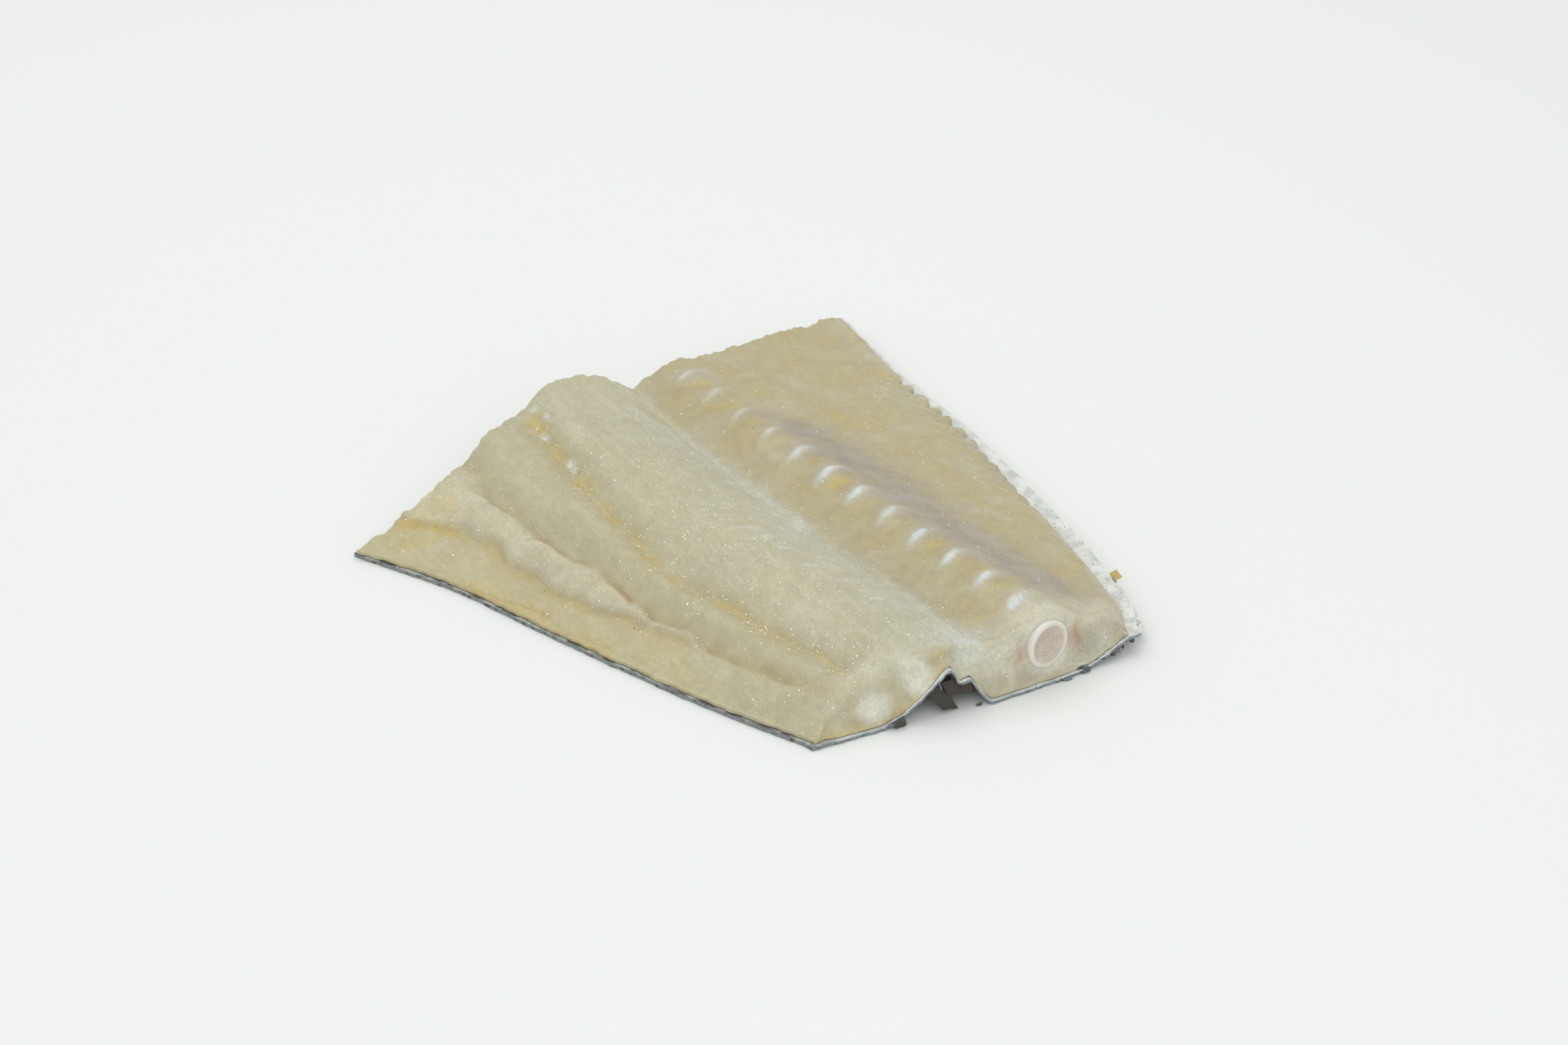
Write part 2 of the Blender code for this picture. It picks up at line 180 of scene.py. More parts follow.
def through(values, share):
    """A smooth line through evenly spaced values, which are numbers or arrays, at share (0 to 1)."""
    share, *values = np.broadcast_arrays(*(np.asarray(value, float) for value in (share, *values)))
    stack = np.stack(values)
    stack = np.concatenate([2 * stack[:1] - stack[1:2], stack, 2 * stack[-1:] - stack[-2:-1]])
    place = np.clip(share, 0.0, 1.0) * (len(values) - 1)
    index = np.minimum(place.astype(int), len(values) - 2)
    t = place - index
    before, start, end, after = (np.take_along_axis(stack, (index + step)[None], 0)[0] for step in range(4))
    return 0.5 * (
        2 * start
        + (end - before) * t
        + (2 * before - 5 * start + 4 * end - after) * t**2
        + (3 * start - before - 3 * end + after) * t**3
    )


def ripple(x, y, size, seed):
    """Soft even lumps between about -1 and 1, each about size across."""
    angle = np.random.default_rng(seed).uniform(0.0, math.tau, (97, 97))
    gx, gy = np.asarray(x, float) / size, np.asarray(y, float) / size
    ix, iy = np.floor(gx).astype(int), np.floor(gy).astype(int)
    fx, fy = gx - ix, gy - iy

    def corner(dx, dy):
        turn = angle[(ix + dx) % 97, (iy + dy) % 97]
        return np.cos(turn) * (fx - dx) + np.sin(turn) * (fy - dy)

    wx, wy = smooth_step(fx), smooth_step(fy)
    low = corner(0, 0) * (1 - wx) + corner(1, 0) * wx
    high = corner(0, 1) * (1 - wx) + corner(1, 1) * wx
    return 1.5 * (low * (1 - wy) + high * wy)


def line_x(points, y):
    """x of a long line at y."""
    ordered = sorted((py, px) for px, py in points)
    return np.interp(y, *zip(*ordered))


def line_fade(points, y, fade=10.0):
    """1 along the line and a soft fade past its two ends."""
    ends = [py for _, py in points]
    return smooth_step((y - min(ends)) / fade + 0.6) * smooth_step((max(ends) - y) / fade + 0.6)


def plan_rows(share):
    """x and y of the left edge, the fold and the right edge at each share of the length."""
    return [
        tuple(through([point[axis] for point in line], share) for axis in (0, 1))
        for line in (LEFT_EDGE, FOLD, RIGHT_EDGE)
    ]


def row_y(rows, x, share):
    """Where a row runs at x: between its three plan points, bowed out at the two cuts."""
    (left_x, left_y), (fold_x, fold_y), (right_x, right_y) = rows
    across = np.clip((x - left_x) / (fold_x - left_x), 0.0, 1.0)
    on_left = left_y + (fold_y - left_y) * across + FAR_BOW * np.sin(math.pi * across**2.2) * share**5
    swell = smooth_step((x - fold_x) / 7.0) * (0.3 + 0.7 * smooth_step((right_x - x) / 24.0))
    on_right = (
        fold_y + (right_y - fold_y) * (x - fold_x) / (right_x - fold_x)
        - NEAR_BOW * swell * (1.0 - share) ** 8
    )
    return np.where(x < fold_x, on_left, on_right)


def corner_round(share):
    """How far the right edge draws in at its near corner."""
    return CORNER_DRAW_IN * (1.0 - smooth_step(share * PLAN_LENGTH / CORNER_LENGTH))


def rounded_rows(share):
    """The plan rows with the near right corner drawn in."""
    left, fold, (right_x, right_y) = plan_rows(share)
    return [left, fold, (right_x - corner_round(share), right_y)]


def skin_top(share, x, rows):
    """Height of the skin's upper face."""
    fold_x, right_x = rows[1][0], rows[2][0]
    offsets, heights = zip(*TUNNEL_ROOF)
    tunnel = np.interp(x - fold_x, offsets, heights, left=0.0, right=0.0)
    tunnel = tunnel * (1.0 + (TUNNEL_FAR_SHARE - 1.0) * smooth_step(share))
    curl = through(CURL_HEIGHTS, share) * smooth_step(1.0 - (right_x - x) / CURL_WIDTH)
    return SKIN_TOP_LEAST + tunnel + curl


def backbone_x(y):
    """x of the backbone's axis at y."""
    slope = (BACKBONE_FAR[0] - BACKBONE_NEAR[0]) / (BACKBONE_FAR[1] - BACKBONE_NEAR[1])
    return BACKBONE_NEAR[0] + slope * (y - BACKBONE_NEAR[1])


def backbone_z(y):
    """Height of the backbone's axis at y."""
    slope = (BACKBONE_FAR[2] - BACKBONE_NEAR[2]) / (BACKBONE_FAR[1] - BACKBONE_NEAR[1])
    return BACKBONE_NEAR[2] + slope * (y - BACKBONE_NEAR[1])


def arch_places():
    """Place of the arch over the end of each vertebra."""
    rows = [FIRST_ARCH + VERTEBRA_PITCH * step for step in range(ARCHES)]
    return [(float(backbone_x(y)) - 0.6, y) for y in rows]


def arch_offsets(x, y, place):
    """Distance along an arch and across it, the arch bending towards the near cut at its right end."""
    turn = math.radians(17.0)
    along = (x - place[0]) * math.cos(turn) + (y - place[1]) * math.sin(turn)
    across = -(x - place[0]) * math.sin(turn) + (y - place[1]) * math.cos(turn)
    return along, across + 0.012 * along * along + 0.035 * np.maximum(along, 0.0) ** 2


def strands(x, y, size, seed):
    """Thin threads that run along the cut, 1 on a thread and 0 off it."""
    return np.clip(1.0 - 7.0 * np.abs(ripple(x + 0.14 * y, y / 8.0, size, seed)), 0.0, 1.0)


def lobe_edge(x, y):
    """Distance past the scalloped edge of the lobes, which bulge out over the belly band."""
    scallop = 1.6 * (np.abs(np.sin(math.pi * (y + 5.0) / 15.0)) - 0.6)
    return x - line_x(LOBED_CREASE, y) + scallop - 0.45 * ripple(x, y, 6.0, 2)


def lobe_phase(x, y):
    """Place in the row of overlapping lobes between the torn crease and the lobed crease."""
    return (y + 1.1 * (x - line_x(TORN_CREASE, y))) / 21.0 + 0.3 * ripple(x, y, 19.0, 31)


def between_creases(x, y):
    """1 on the lobes between the two creases of the belly side."""
    inside = (
        smooth_step((x - line_x(LOBED_CREASE, y)) / 2.5) * smooth_step((line_x(TORN_CREASE, y) - x) / 2.0)
    )
    return inside * line_fade(LOBED_CREASE, y)


def rim_lobes(x, y, right_x, width=0.45):
    """Lines between the muscle lobes of the right edge, 1 at a line and 0 past its width."""
    edge = right_x - x
    phase = (y - 1.3 * edge + 1.6 * ripple(x, y, 9.0, 41)) / 6.5
    stretch = smooth_step((54.0 - y) / 10.0) * smooth_step((y + 34.0) / 12.0)
    return np.clip(1.0 - np.abs(np.sin(math.pi * phase)) / width, 0.0, 1.0) * stretch


def flesh_height(share, x, y, rows):
    """Height of the upper face of the flesh with its bands, creases and bumps."""
    (left_x, _), (fold_x, _), (right_x, _) = rows
    on_left = through([through(part, (x - left_x) / (fold_x - left_x)) for part in LEFT_HEIGHTS], share)
    on_right = through([through(part, (x - fold_x) / (right_x - fold_x)) for part in RIGHT_HEIGHTS], share)
    height = np.where(x < fold_x, on_left, on_right)
    for line, depth, half_width in TROUGHS:
        ends = sorted(py for _, py in line)
        fade = smooth_step((y - ends[0] + 4.0) / 9.0) * smooth_step((ends[-1] + 12.0 - y) / 12.0)
        height = height - depth * fade * bell(x - line_x(line, y), half_width)
    bone = backbone_x(y)
    cover = backbone_z(y) + VERTEBRA_RADIUS + FLESH_OVER_BONE
    height = height + np.maximum(0.0, cover - height) * bell(x - bone, 12.0) ** 2
    return height + flesh_relief(x, y, right_x)


def flesh_relief(x, y, right_x):
    """The finer shape of the upper face: how far it stands over or under the smooth form."""
    wobble = 0.9 * ripple(x, y, 7.0, 2) + 0.4 * ripple(x, y, 2.6, 3)
    relief = 0.42 * ripple(x, y, 13.0, 4) + 0.16 * ripple(x, y, 5.0, 5) + 0.055 * ripple(x, y, 2.1, 6)
    seam = x - line_x(SEAM, y) + 0.6 * wobble
    relief -= (0.5 * bell(seam, 1.0) + 0.35 * bell(seam, 3.0)) * line_fade(SEAM, y)
    torn = x - line_x(TORN_CREASE, y) - 0.8 * wobble
    torn_fade = line_fade(TORN_CREASE, y)
    relief -= 0.34 * bell(torn, 0.7) * torn_fade * smooth_step(0.45 + ripple(x, y, 6.0, 7))
    relief += 0.6 * smooth_step(-torn / 1.8) * smooth_step(1.0 + torn / 8.0) * torn_fade
    lobed = lobe_edge(x, y)
    raised = 0.8 * smooth_step(lobed / 1.4) * smooth_step(1.0 - lobed / 14.0)
    relief += (
        (raised - 0.5 * bell(lobed + 0.5, 0.9) - 0.35 * bell(lobed + 1.5, 3.0)) * line_fade(LOBED_CREASE, y)
    )
    petal = lobe_phase(x, y) % 1.0
    relief += 0.6 * (petal * (1.0 - smooth_step((petal - 0.88) / 0.12)) - 0.42) * between_creases(x, y)
    margin = x - line_x(MARGIN_LINE, y) - 0.4 * wobble
    relief -= (0.3 * bell(margin, 0.5) + 0.25 * smooth_step(-margin / 1.0)) * line_fade(MARGIN_LINE, y, 6.0)
    membrane = x - line_x(VALLEY, y) + 0.8 * wobble
    relief += 0.35 * smooth_step(-membrane / 1.2) * bell(membrane, 7.0) * smooth_step((-22.0 - y) / 12.0)
    for place in arch_places():
        along, across = arch_offsets(x, y, place)
        relief += 0.95 * bell(across, 1.8) * bell(along - 0.4, 4.6)
        relief -= 0.7 * spot(x, y, (place[0] + 1.2, place[1] - 5.2), 4.6, 2.8)
        relief -= 0.35 * spot(x, y, (place[0] - 3.5, place[1] + 2.0), 3.0, 2.4)
    relief -= 0.7 * rim_lobes(x, y, right_x) * smooth_step(1.25 - (right_x - x) / 14.0)
    fibres = ripple(x + 0.12 * y, y / 9.0, 1.5, 8)
    return relief + 0.05 * fibres * smooth_step((x - 8.0) / 8.0)


def edge_share(distance, rounding):
    """Share of the full thickness at this distance from a long edge."""
    inside = np.clip(distance / rounding, 0.0, 1.0)
    return 0.22 + 0.78 * np.sqrt(1.0 - (1.0 - inside) ** 2)


def columns(rows, rim_left, rim_right, count):
    """x of the grid's columns, closer together over the tunnel."""
    (left_x, _), (fold_x, _), (right_x, _) = rows
    knots = np.array((0.0, 0.36, 0.56, 1.0))
    edges = [left_x + rim_left, fold_x - 16.0, fold_x + 7.0, right_x - rim_right]
    u = np.linspace(0.0, 1.0, count)
    piece = np.minimum(np.searchsorted(knots, u, side="right") - 1, 2)
    part = (u - knots[piece]) / (knots[piece + 1] - knots[piece])
    stack = np.concatenate([np.broadcast_to(edge, (rows[0][0].shape[0], 1)) for edge in edges], axis=1)
    return stack[:, piece] * (1 - part) + stack[:, piece + 1] * part


def fold_middle(rows):
    """x of the fold."""
    return rows[1][0]


def face_bulge(x, z, bundles):
    """How far the muscle bundles stand out of a cut."""
    bulge = 0.12 * ripple(x, z, 2.2, 19)
    for bundle_x, bundle_z, half_width, half_height, strength in bundles:
        reach = ((x - bundle_x) / half_width) ** 2 + ((z - bundle_z) / half_height) ** 2
        bulge = np.maximum(bulge, 0.75 * strength * np.sqrt(np.clip(1.0 - reach, 0.0, 1.0)))
    return bulge


def flesh_surface(count, top_rows):
    """Places of the flesh's upper and lower faces, row by row, and how far each point lies on a cut."""
    share = np.linspace(0.0, 1.0, top_rows)[:, None]
    rows = rounded_rows(share)
    rim_left = (
        0.55 + 0.35 * ripple(share * 60.0, share * 0, 3.0, 11) + 0.3 * ripple(share * 170, share * 0, 3.0, 12)
    )
    x = columns(rows, rim_left, through((3.2, 5.0, 4.2, 2.2, 1.7, 1.4), share), count)
    right_edge = rows[2][0]
    y = row_y(rows, x, share)
    pull = np.clip((x - fold_middle(rows)) / (right_edge - fold_middle(rows)), 0.0, 1.0) ** 6
    notch = 3.2 * rim_lobes(right_edge - 0.5, y, right_edge, 0.9) + 0.5 * ripple(y, y * 0 + 3.0, 6.0, 13)
    x = x - pull * (notch + 0.2)
    y = row_y(rows, x, share)
    base = skin_top(share, x, rows) + FLESH_OVER_SKIN
    height = flesh_height(share, x, y, rows)
    rim_right = right_edge - x[:, -1:]
    thick = edge_share(x - rows[0][0] - rim_left, 7.0) * edge_share(right_edge - rim_right - x, 5.0)
    far = (1.0 - share) * PLAN_LENGTH
    chipped = 0.8 * ripple(x, x * 0, 4.2, 26) + 0.5 * ripple(x, x * 0, 1.7, 27)
    height = height + chipped * (1.0 - smooth_step(far / 5.0))
    top = base + np.maximum(0.9, (height - base) * thick)
    near = share * PLAN_LENGTH
    by_bone = bell(x - backbone_x(y), 9.0)
    ragged = 0.5 * ripple(x, x * 0, 5.0, 14) + 0.25 * ripple(x, x * 0, 1.7, 15)
    set_back = (2.6 - 1.7 * by_bone + 0.4 * ragged) * smooth_step((top - base) / 8.0)
    left_side = smooth_step((fold_middle(rows) - 4.0 - x) / 5.0)
    rim = np.minimum(1.5 + 3.4 * left_side * (share < 0.5), (0.3 + 0.26 * left_side) * (top - base))
    far_ragged = 0.9 * ripple(x, x * 0, 6.0, 16) + 0.6 * ripple(x, x * 0, 2.4, 17)
    y = y + (set_back + rim) * (1.0 - smooth_step(near / 26.0))
    y = y - (rim + 0.2 + far_ragged) * (1.0 - smooth_step(far / 12.0))
    upper = np.stack([x, y, top], axis=2)
    lower = np.stack([x, y, base], axis=2)

    def end_rows(index, sign, face_count, back):
        """Rows that carry the upper face round its rim and down a cut face."""
        x_line, base_line, top_line, rim_line = x[index], base[index], top[index], rim[index]
        y_line = y[index] - sign * rim_line
        rim_part, face_part = [], []
        for turn in np.linspace(0.0, math.pi / 2, RIM_ROWS + 1)[:-1]:
            place = (
                x_line, y_line + sign * rim_line * (1 - math.cos(turn)),
                top_line - rim_line * (1 - math.sin(turn)),
            )
            rim_part.append((np.stack(place, axis=1), math.cos(turn)))
        for t in np.linspace(0.0, 1.0, face_count):
            z_line = base_line + t * (top_line - rim_line - base_line)
            bulge = face_bulge(x_line, z_line, BUNDLES if sign > 0 else FAR_BUNDLES)
            y_face = y_line - sign * back * (1 - t) ** 1.4 * smooth_step((top_line - base_line) / 8.0)
            y_face = y_face - sign * bulge * math.sin(math.pi * min(1.0, t + 0.15)) ** 0.6
            y_face = y_face + (sign < 0) * far_ragged[0] * (1.0 - t)
            bone_x, _, bone_z = BACKBONE_NEAR if sign > 0 else BACKBONE_FAR
            reach = np.hypot((x_line - bone_x) / BONE_WIDTH_SHARE, z_line - bone_z)
            y_face = y_face + sign * 4.0 * smooth_step((5.6 - reach) / 0.8)
            face_part.append((np.stack((x_line, y_face, z_line), axis=1), 1.0))
        return face_part[:-1] + rim_part

    near_part = end_rows(0, 1.0, NEAR_FACE_ROWS, set_back[0])
    far_part = end_rows(-1, -1.0, FAR_FACE_ROWS, 0.9)[::-1]
    near_places = np.stack([place for place, _ in near_part])
    far_places = np.stack([place for place, _ in far_part])
    places = np.concatenate([near_places, upper, far_places])
    cut = [*(m for _, m in near_part), *([0.0] * top_rows), *(m for _, m in far_part)]
    cut = np.broadcast_to(np.array(cut)[:, None], places.shape[:2]).copy()

    # The lower face has as many rows as the upper one: spare rows fill the strips under the two rims
    near_base, far_base = lower[:1].copy(), lower[-1:].copy()
    near_base[..., 1] = places[0, :, 1]
    far_base[..., 1] = places[-1, :, 1]
    steps = np.linspace(0.0, 1.0, len(near_part), endpoint=False)[:, None, None]
    near_floor = near_base + (lower[:1] - near_base) * steps
    steps = np.linspace(0.0, 1.0, len(far_part) + 1)[1:, None, None]
    far_floor = lower[-1:] + (far_base - lower[-1:]) * steps
    floor = np.concatenate([near_floor, lower, far_floor])
    return places, floor, cut


def flesh_marks(places, cut):
    """Where each tint of the flesh lies, as a share from 0 to 1 at every point."""
    x, y, z = places[..., 0], places[..., 1], places[..., 2]
    top = 1.0 - cut
    near = cut * (y < 0.0)
    wobble = 0.9 * ripple(x, y, 7.0, 2) + 0.4 * ripple(x, y, 2.6, 3)
    cloud = 0.5 + 0.5 * ripple(x, y, 9.0, 21)
    patch = np.clip(0.5 + 0.9 * ripple(x, y, 4.0, 22), 0.0, 1.0)
    fleck = np.clip(0.5 + 1.1 * ripple(x, y, 1.6, 23), 0.0, 1.0)
    seam = x - line_x(SEAM, y) + 0.6 * wobble
    torn = x - line_x(TORN_CREASE, y) - 0.8 * wobble
    lobed = lobe_edge(x, y)
    margin = x - line_x(MARGIN_LINE, y) - 0.4 * wobble
    valley = x - line_x(VALLEY, y) + 0.8 * wobble
    right_side = smooth_step((x - line_x(VALLEY, y)) / 4.0)

    # Ochre stain along the seam, and a wider soft ochre band beside it that is painted shade in the seam's
    # groove
    ochre = (
        (0.1 + 0.42 * patch) * bell(seam, 1.0) * line_fade(SEAM, y)
        + 0.26 * bell(seam + 0.4, 2.6) * line_fade(SEAM, y) * (0.4 + 0.6 * patch)
    )
    for place, half, strength in (
        ((-27.6, 58.6), 2.3, 0.9), ((-28.6, 43.0), 1.9, 0.9), ((-29.2, 27.0), 2.0, 0.8),
        ((-28.9, 17.0), 1.5, 0.5), ((-23.0, -33.0), 1.6, 0.7), ((-29.4, -6.0), 1.4, 0.4),
        ((-62.0, 43.5), 4.5, 0.75), ((-70.5, 45.0), 5.0, 0.5), ((-58.0, 48.0), 3.0, 0.5),
    ):
        ochre = ochre + strength * spot(x + 0.8 * wobble, y, place, half, 1.5 * half) * (0.45 + 0.75 * patch)
    ochre = ochre + 0.42 * smooth_step(-margin / 1.0) * smooth_step((28.0 - y) / 10.0) * (0.45 + 0.7 * patch)
    ochre = ochre + 0.3 * bell(margin - 1.0, 2.0) * line_fade(MARGIN_LINE, y)
    ochre = ochre + right_side * (0.1 + 0.24 * cloud) + 0.1 * patch * cloud
    ochre = ochre + 0.24 * smooth_step(-lobed / 3.0) * (0.5 + 0.5 * cloud) + 0.2 * between_creases(x, y)
    broken = smooth_step(0.5 + 1.3 * ripple(x, y, 6.0, 7)) * bell(y + 12.0, 34.0)
    brown = (0.85 * bell(torn, 0.5) * broken + 0.18 * bell(torn, 1.6)) * line_fade(TORN_CREASE, y)
    # Painted shade: a soft brown band along the seam's groove
    brown = brown + 0.16 * bell(seam, 1.5) * line_fade(SEAM, y) * (0.4 + 0.6 * patch)
    brown = (
        brown
        + 0.3 * bell(torn - 1.0, 1.6) * smooth_step((-8.0 - y) / 10.0) * patch * line_fade(TORN_CREASE, y)
    )
    # Painted shadow under the scalloped edge of the lobes: a brown line with a softer ochre band below it
    lobe_edge_shadow = 0.42 * bell(lobed + 0.3, 0.55) + 0.26 * bell(lobed + 1.3, 1.8)
    brown = brown + lobe_edge_shadow * line_fade(LOBED_CREASE, y) * (0.5 + 0.6 * patch)
    ochre = ochre + 0.3 * bell(lobed + 1.2, 2.4) * line_fade(LOBED_CREASE, y)
    petal = lobe_phase(x, y) % 1.0
    lobe_line = bell(petal - 0.965, 0.035)
    brown = brown + 0.22 * lobe_line * between_creases(x, y)
    brown = brown + 0.5 * bell(margin, 0.45) * line_fade(MARGIN_LINE, y, 6.0)
    milk = (0.06 + 0.12 * bell(petal - 0.8, 0.12)) * between_creases(x, y)
    milk = milk + 0.14 * bell(lobed - 1.2, 1.2) * line_fade(LOBED_CREASE, y)
    dusk = 0.0 * x
    for index, place in enumerate(arch_places()):
        along, across = arch_offsets(x, y, place)
        swing = 0.6 + 0.4 * math.sin(2.3 * index + 0.7)
        fade = smooth_step((9.0 - index) / 3.0) * 0.6 + 0.4
        # Bluish-white crescent over each arch: the film over the bone, with a painted highlight brightest on
        # its lower left side
        milk = milk + (
            1.05 * bell(across, 1.0) * bell(along + 1.2, 2.9)
            + 0.28 * bell(across, 2.3) * bell(along - 0.8, 4.8)
        ) * fade
        # Painted shade: an ochre spot in the hollow between the arches
        ochre = ochre + 0.6 * swing * spot(x + wobble, y, (place[0] + 1.2, place[1] - 5.2), 3.0, 1.8)
        brown = brown + 0.45 * (1.2 - swing) * spot(x + wobble, y, (place[0] - 2.5, place[1] + 4.4), 3.0, 1.8)
        dusk = dusk + 0.3 * spot(x, y, (place[0] + 4.6, place[1] - 1.6), 2.6, 2.2)
    for place, half, strength in (
        ((26.5, 6.5), 1.5, 1.0), ((15.4, 59.8), 2.6, 0.5), ((17.4, 45.2), 2.6, 0.5),
        ((18.5, 33.0), 2.4, 0.45), ((33.2, -57.5), 2.0, 0.5),
    ):
        brown = brown + strength * spot(x + 0.5 * wobble, y, place, half)
    band = x - line_x(
        ((24.0, 45.0), (30.5, 22.0), (33.6, 6.0), (35.5, -14.0), (37.2, -36.0), (41.5, -58.0), (46.0, -74.0)),
        y,
    )
    in_band = bell(band + wobble - 3.0, 8.0) * smooth_step((44.0 - y) / 22.0) * smooth_step((y + 84.0) / 20.0)
    dusk = dusk + 1.35 * in_band * (0.7 + 0.3 * cloud)
    ochre = ochre * (1.0 - 0.7 * in_band)
    dusk = dusk + 0.3 * smooth_step(valley / 2.0) * smooth_step((14.0 - valley) / 8.0) * (0.4 + 0.6 * cloud)
    fascia = ((-6.0, 64.0), (0.4, 47.0), (4.6, 36.0), (6.4, 28.2), (7.6, 12.6), (9.3, -1.9), (10.4, -16.0))
    streak = x - line_x(fascia, y) + 0.5 * wobble
    milk = (
        milk + 0.3 * bell(streak + 1.0, 4.5) * smooth_step((58.0 - y) / 14.0) * smooth_step((y + 34.0) / 20.0)
        * (0.45 + 0.55 * patch)
    )
    threads = strands(x, y, 2.6, 24) * smooth_step((x + 14.0) / 8.0) * smooth_step((50.0 - x) / 10.0)
    milk = (
        milk + threads * (0.03 + 0.07 * bell(valley - 6.0, 8.0)) * smooth_step(0.5 + ripple(x, y, 11.0, 28))
    )
    milk = (
        milk + 0.22 * smooth_step(-valley / 0.8) * bell(valley, 9.0) * smooth_step((8.0 - y) / 25.0)
        * (0.5 + 0.5 * cloud)
    )
    milk = (
        milk + 0.3 * bell(valley, 0.9) * smooth_step((-24.0 - y) / 14.0)
        * smooth_step(0.4 + 1.2 * ripple(x, y, 5.0, 25))
    )
    for place, length, strength in (
        ((-6.4, -15.6), 5.6, 0.8), ((-2.4, -27.1), 3.0, 0.9), ((-1.0, -36.4), 2.4, 0.8),
        ((1.6, -8.0), 4.4, 0.5), ((3.4, -46.0), 3.6, 0.6), ((-4.0, -21.0), 3.2, 0.5), (
            (6.0, -56.0), 3.0, 0.5,
        ),
    ):
        along = (x - place[0]) * 0.945 - (y - place[1]) * 0.327
        across = (x - place[0]) * 0.327 + (y - place[1]) * 0.945
        milk = milk + strength * bell(along, length * 0.6) * bell(across, 0.42)
    for place, half in (
        ((-24.4, 57.4), 0.6), ((-27.6, 51.8), 0.7), ((-27.6, 37.6), 0.8), ((-25.2, 63.0), 0.8),
        ((-28.0, 35.0), 0.5),
    ):
        milk = milk + spot(x, y, place, half, 1.6 * half)
    milk = milk + 0.45 * spot(x, y, (16.0, -80.0), 8.0, 6.0) + 0.15 * spot(x, y, (53.0, -79.0), 9.0, 4.0)
    halo = spot(x, y, (36.0, -81.5), 9.0, 4.0)
    milk = milk + 0.3 * halo
    milk = milk + 0.22 * bell(right_gap(x, y) - 4.0, 3.0) * fleck
    rim_line = rim_lobes(x, y, x + right_gap(x, y)) * smooth_step(1.3 - right_gap(x, y) / 15.0)
    milk = milk + 0.6 * rim_line * (0.5 + 0.5 * patch)
    brown = (
        brown + 0.25 * (1.0 - rim_line) * smooth_step(1.0 - right_gap(x, y) / 12.0)
        * smooth_step((50.0 - y) / 9.0) * smooth_step((y + 40.0) / 20.0)
    )
    milk = milk + 0.14 * (1.0 - right_side) * cloud * smooth_step((x + 24.0) / 14.0)
    slanted = ripple(x + 0.4 * y, y / 1.4, 8.0, 29)
    ochre = ochre + 0.28 * right_side * smooth_step(slanted * 1.4) * patch
    milk = milk + 0.12 * right_side * smooth_step(-slanted * 1.2)
    olive = (
        right_side * (0.5 + 0.4 * cloud) * top
        + 0.5 * bell(valley - 3.0, 4.0) * smooth_step((-10.0 - y) / 30.0)
    )
    # Painted shade: olive in the trough left of the seam and along the torn crease
    olive = (
        olive + 0.4 * bell(x - line_x(TROUGHS[0][0], y), 5.0) * (y < 60.0)
        + 0.15 * bell(x - line_x(TROUGHS[0][0], y) + 3.0, 3.0)
        + 0.4 * bell(torn, 4.0) * line_fade(TORN_CREASE, y)
    )

    # The near cut: a brown fringe over the skin, pale tissue over the fold, and stains round the backbone
    rows = plan_rows(np.zeros_like(x))
    over_skin = z - skin_top(np.zeros_like(x), x, rows)
    fringe = bell(over_skin, 1.3) * (x < 9.0)
    ochre = (
        ochre * top + near
        * (0.75 * fringe + 0.25 * patch * (1.0 - pale_bundle(x, z)) + 0.8 * spot(x, z, (7.4, 16.0), 0.9, 2.2))
    )
    ochre = (
        ochre + near * (0.7 * spot(x, z, (21.7, 12.2), 1.6, 1.8) + 0.45 * spot(x, z, (16.5, 9.5), 3.0, 2.0))
    )
    brown = (
        brown * top
        + near * (0.6 * fringe * patch + 0.6 * spot(x, z, (5.8, 14.0), 1.3, 1.8) + 0.3 * bell(over_skin, 0.6))
    )
    brown = (
        brown + near * (0.8 * spot(x, z, (-13.6, 3.4), 3.2, 1.0) + 0.7 * spot(x, z, (-1.0, 7.6), 1.0, 2.6))
    )
    brown = (
        brown + near * (0.8 * spot(x, z, (28.0, 10.2), 1.8, 2.2) + 0.5 * spot(x, z, (43.4, 11.2), 2.0, 2.4))
    )
    milk = (
        milk * top + near
        * (0.5 * spot(x, z, (15.5, 12.5), 5.0, 4.0) + 0.3 * bell(np.hypot(x - 35.4, z - 11.2) - 6.8, 1.2))
    )
    pale = near * (
        0.1 + smooth_step((12.0 - x) / 8.0) * (0.05 + 1.1 * pale_bundle(x, z)) + 0.5
        * spot(x, z, (18.0, 12.0), 6.5, 4.0)
    )
    pale = pale + near * smooth_step((x - 18.0) / 6.0) * 0.6 * (1.0 - pale_bundle(x, z)) * (0.5 + 0.5 * patch)
    pale = pale + top * (
        0.55 * spot(x, y, (-6.0, -80.0), 11.0, 5.0) + 0.5 * halo + 0.3 * spot(x, y, (53.0, -79.0), 9.0, 4.0)
    )
    pale = pale + top * (
        0.3 * between_creases(x, y) * (0.4 + 0.6 * patch) + 0.25 * bell(seam - 5.0, 4.0) * (1.0 - right_side)
        * cloud
    )
    dusk = dusk * top + near * 0.2 * smooth_step((x - 18.0) / 6.0)
    blood = (
        near * (0.95 * spot(x, z, (43.4, 10.8), 2.2, 2.8) + 0.5 * spot(x, z, (27.6, 10.0), 2.2, 2.6))
        * (0.35 + 0.65 * fleck)
    )
    blood = blood + 0.25 * top * spot(x, y, (45.5, -80.0), 3.0, 2.0)
    ochre = ochre + near * smooth_step((x - 18.0) / 6.0) * (0.5 * bell(over_skin - 0.6, 1.2) + 0.2 * patch)
    clear, ring = 0.0 * x, np.full_like(x, 9.0)
    for bundle in BUNDLES + FAR_BUNDLES:
        bundle_x, bundle_z, half_width, half_height, strength = bundle
        at_far_cut = bundle in FAR_BUNDLES
        reach = np.hypot((x - bundle_x) / half_width, (z - bundle_z) / half_height)
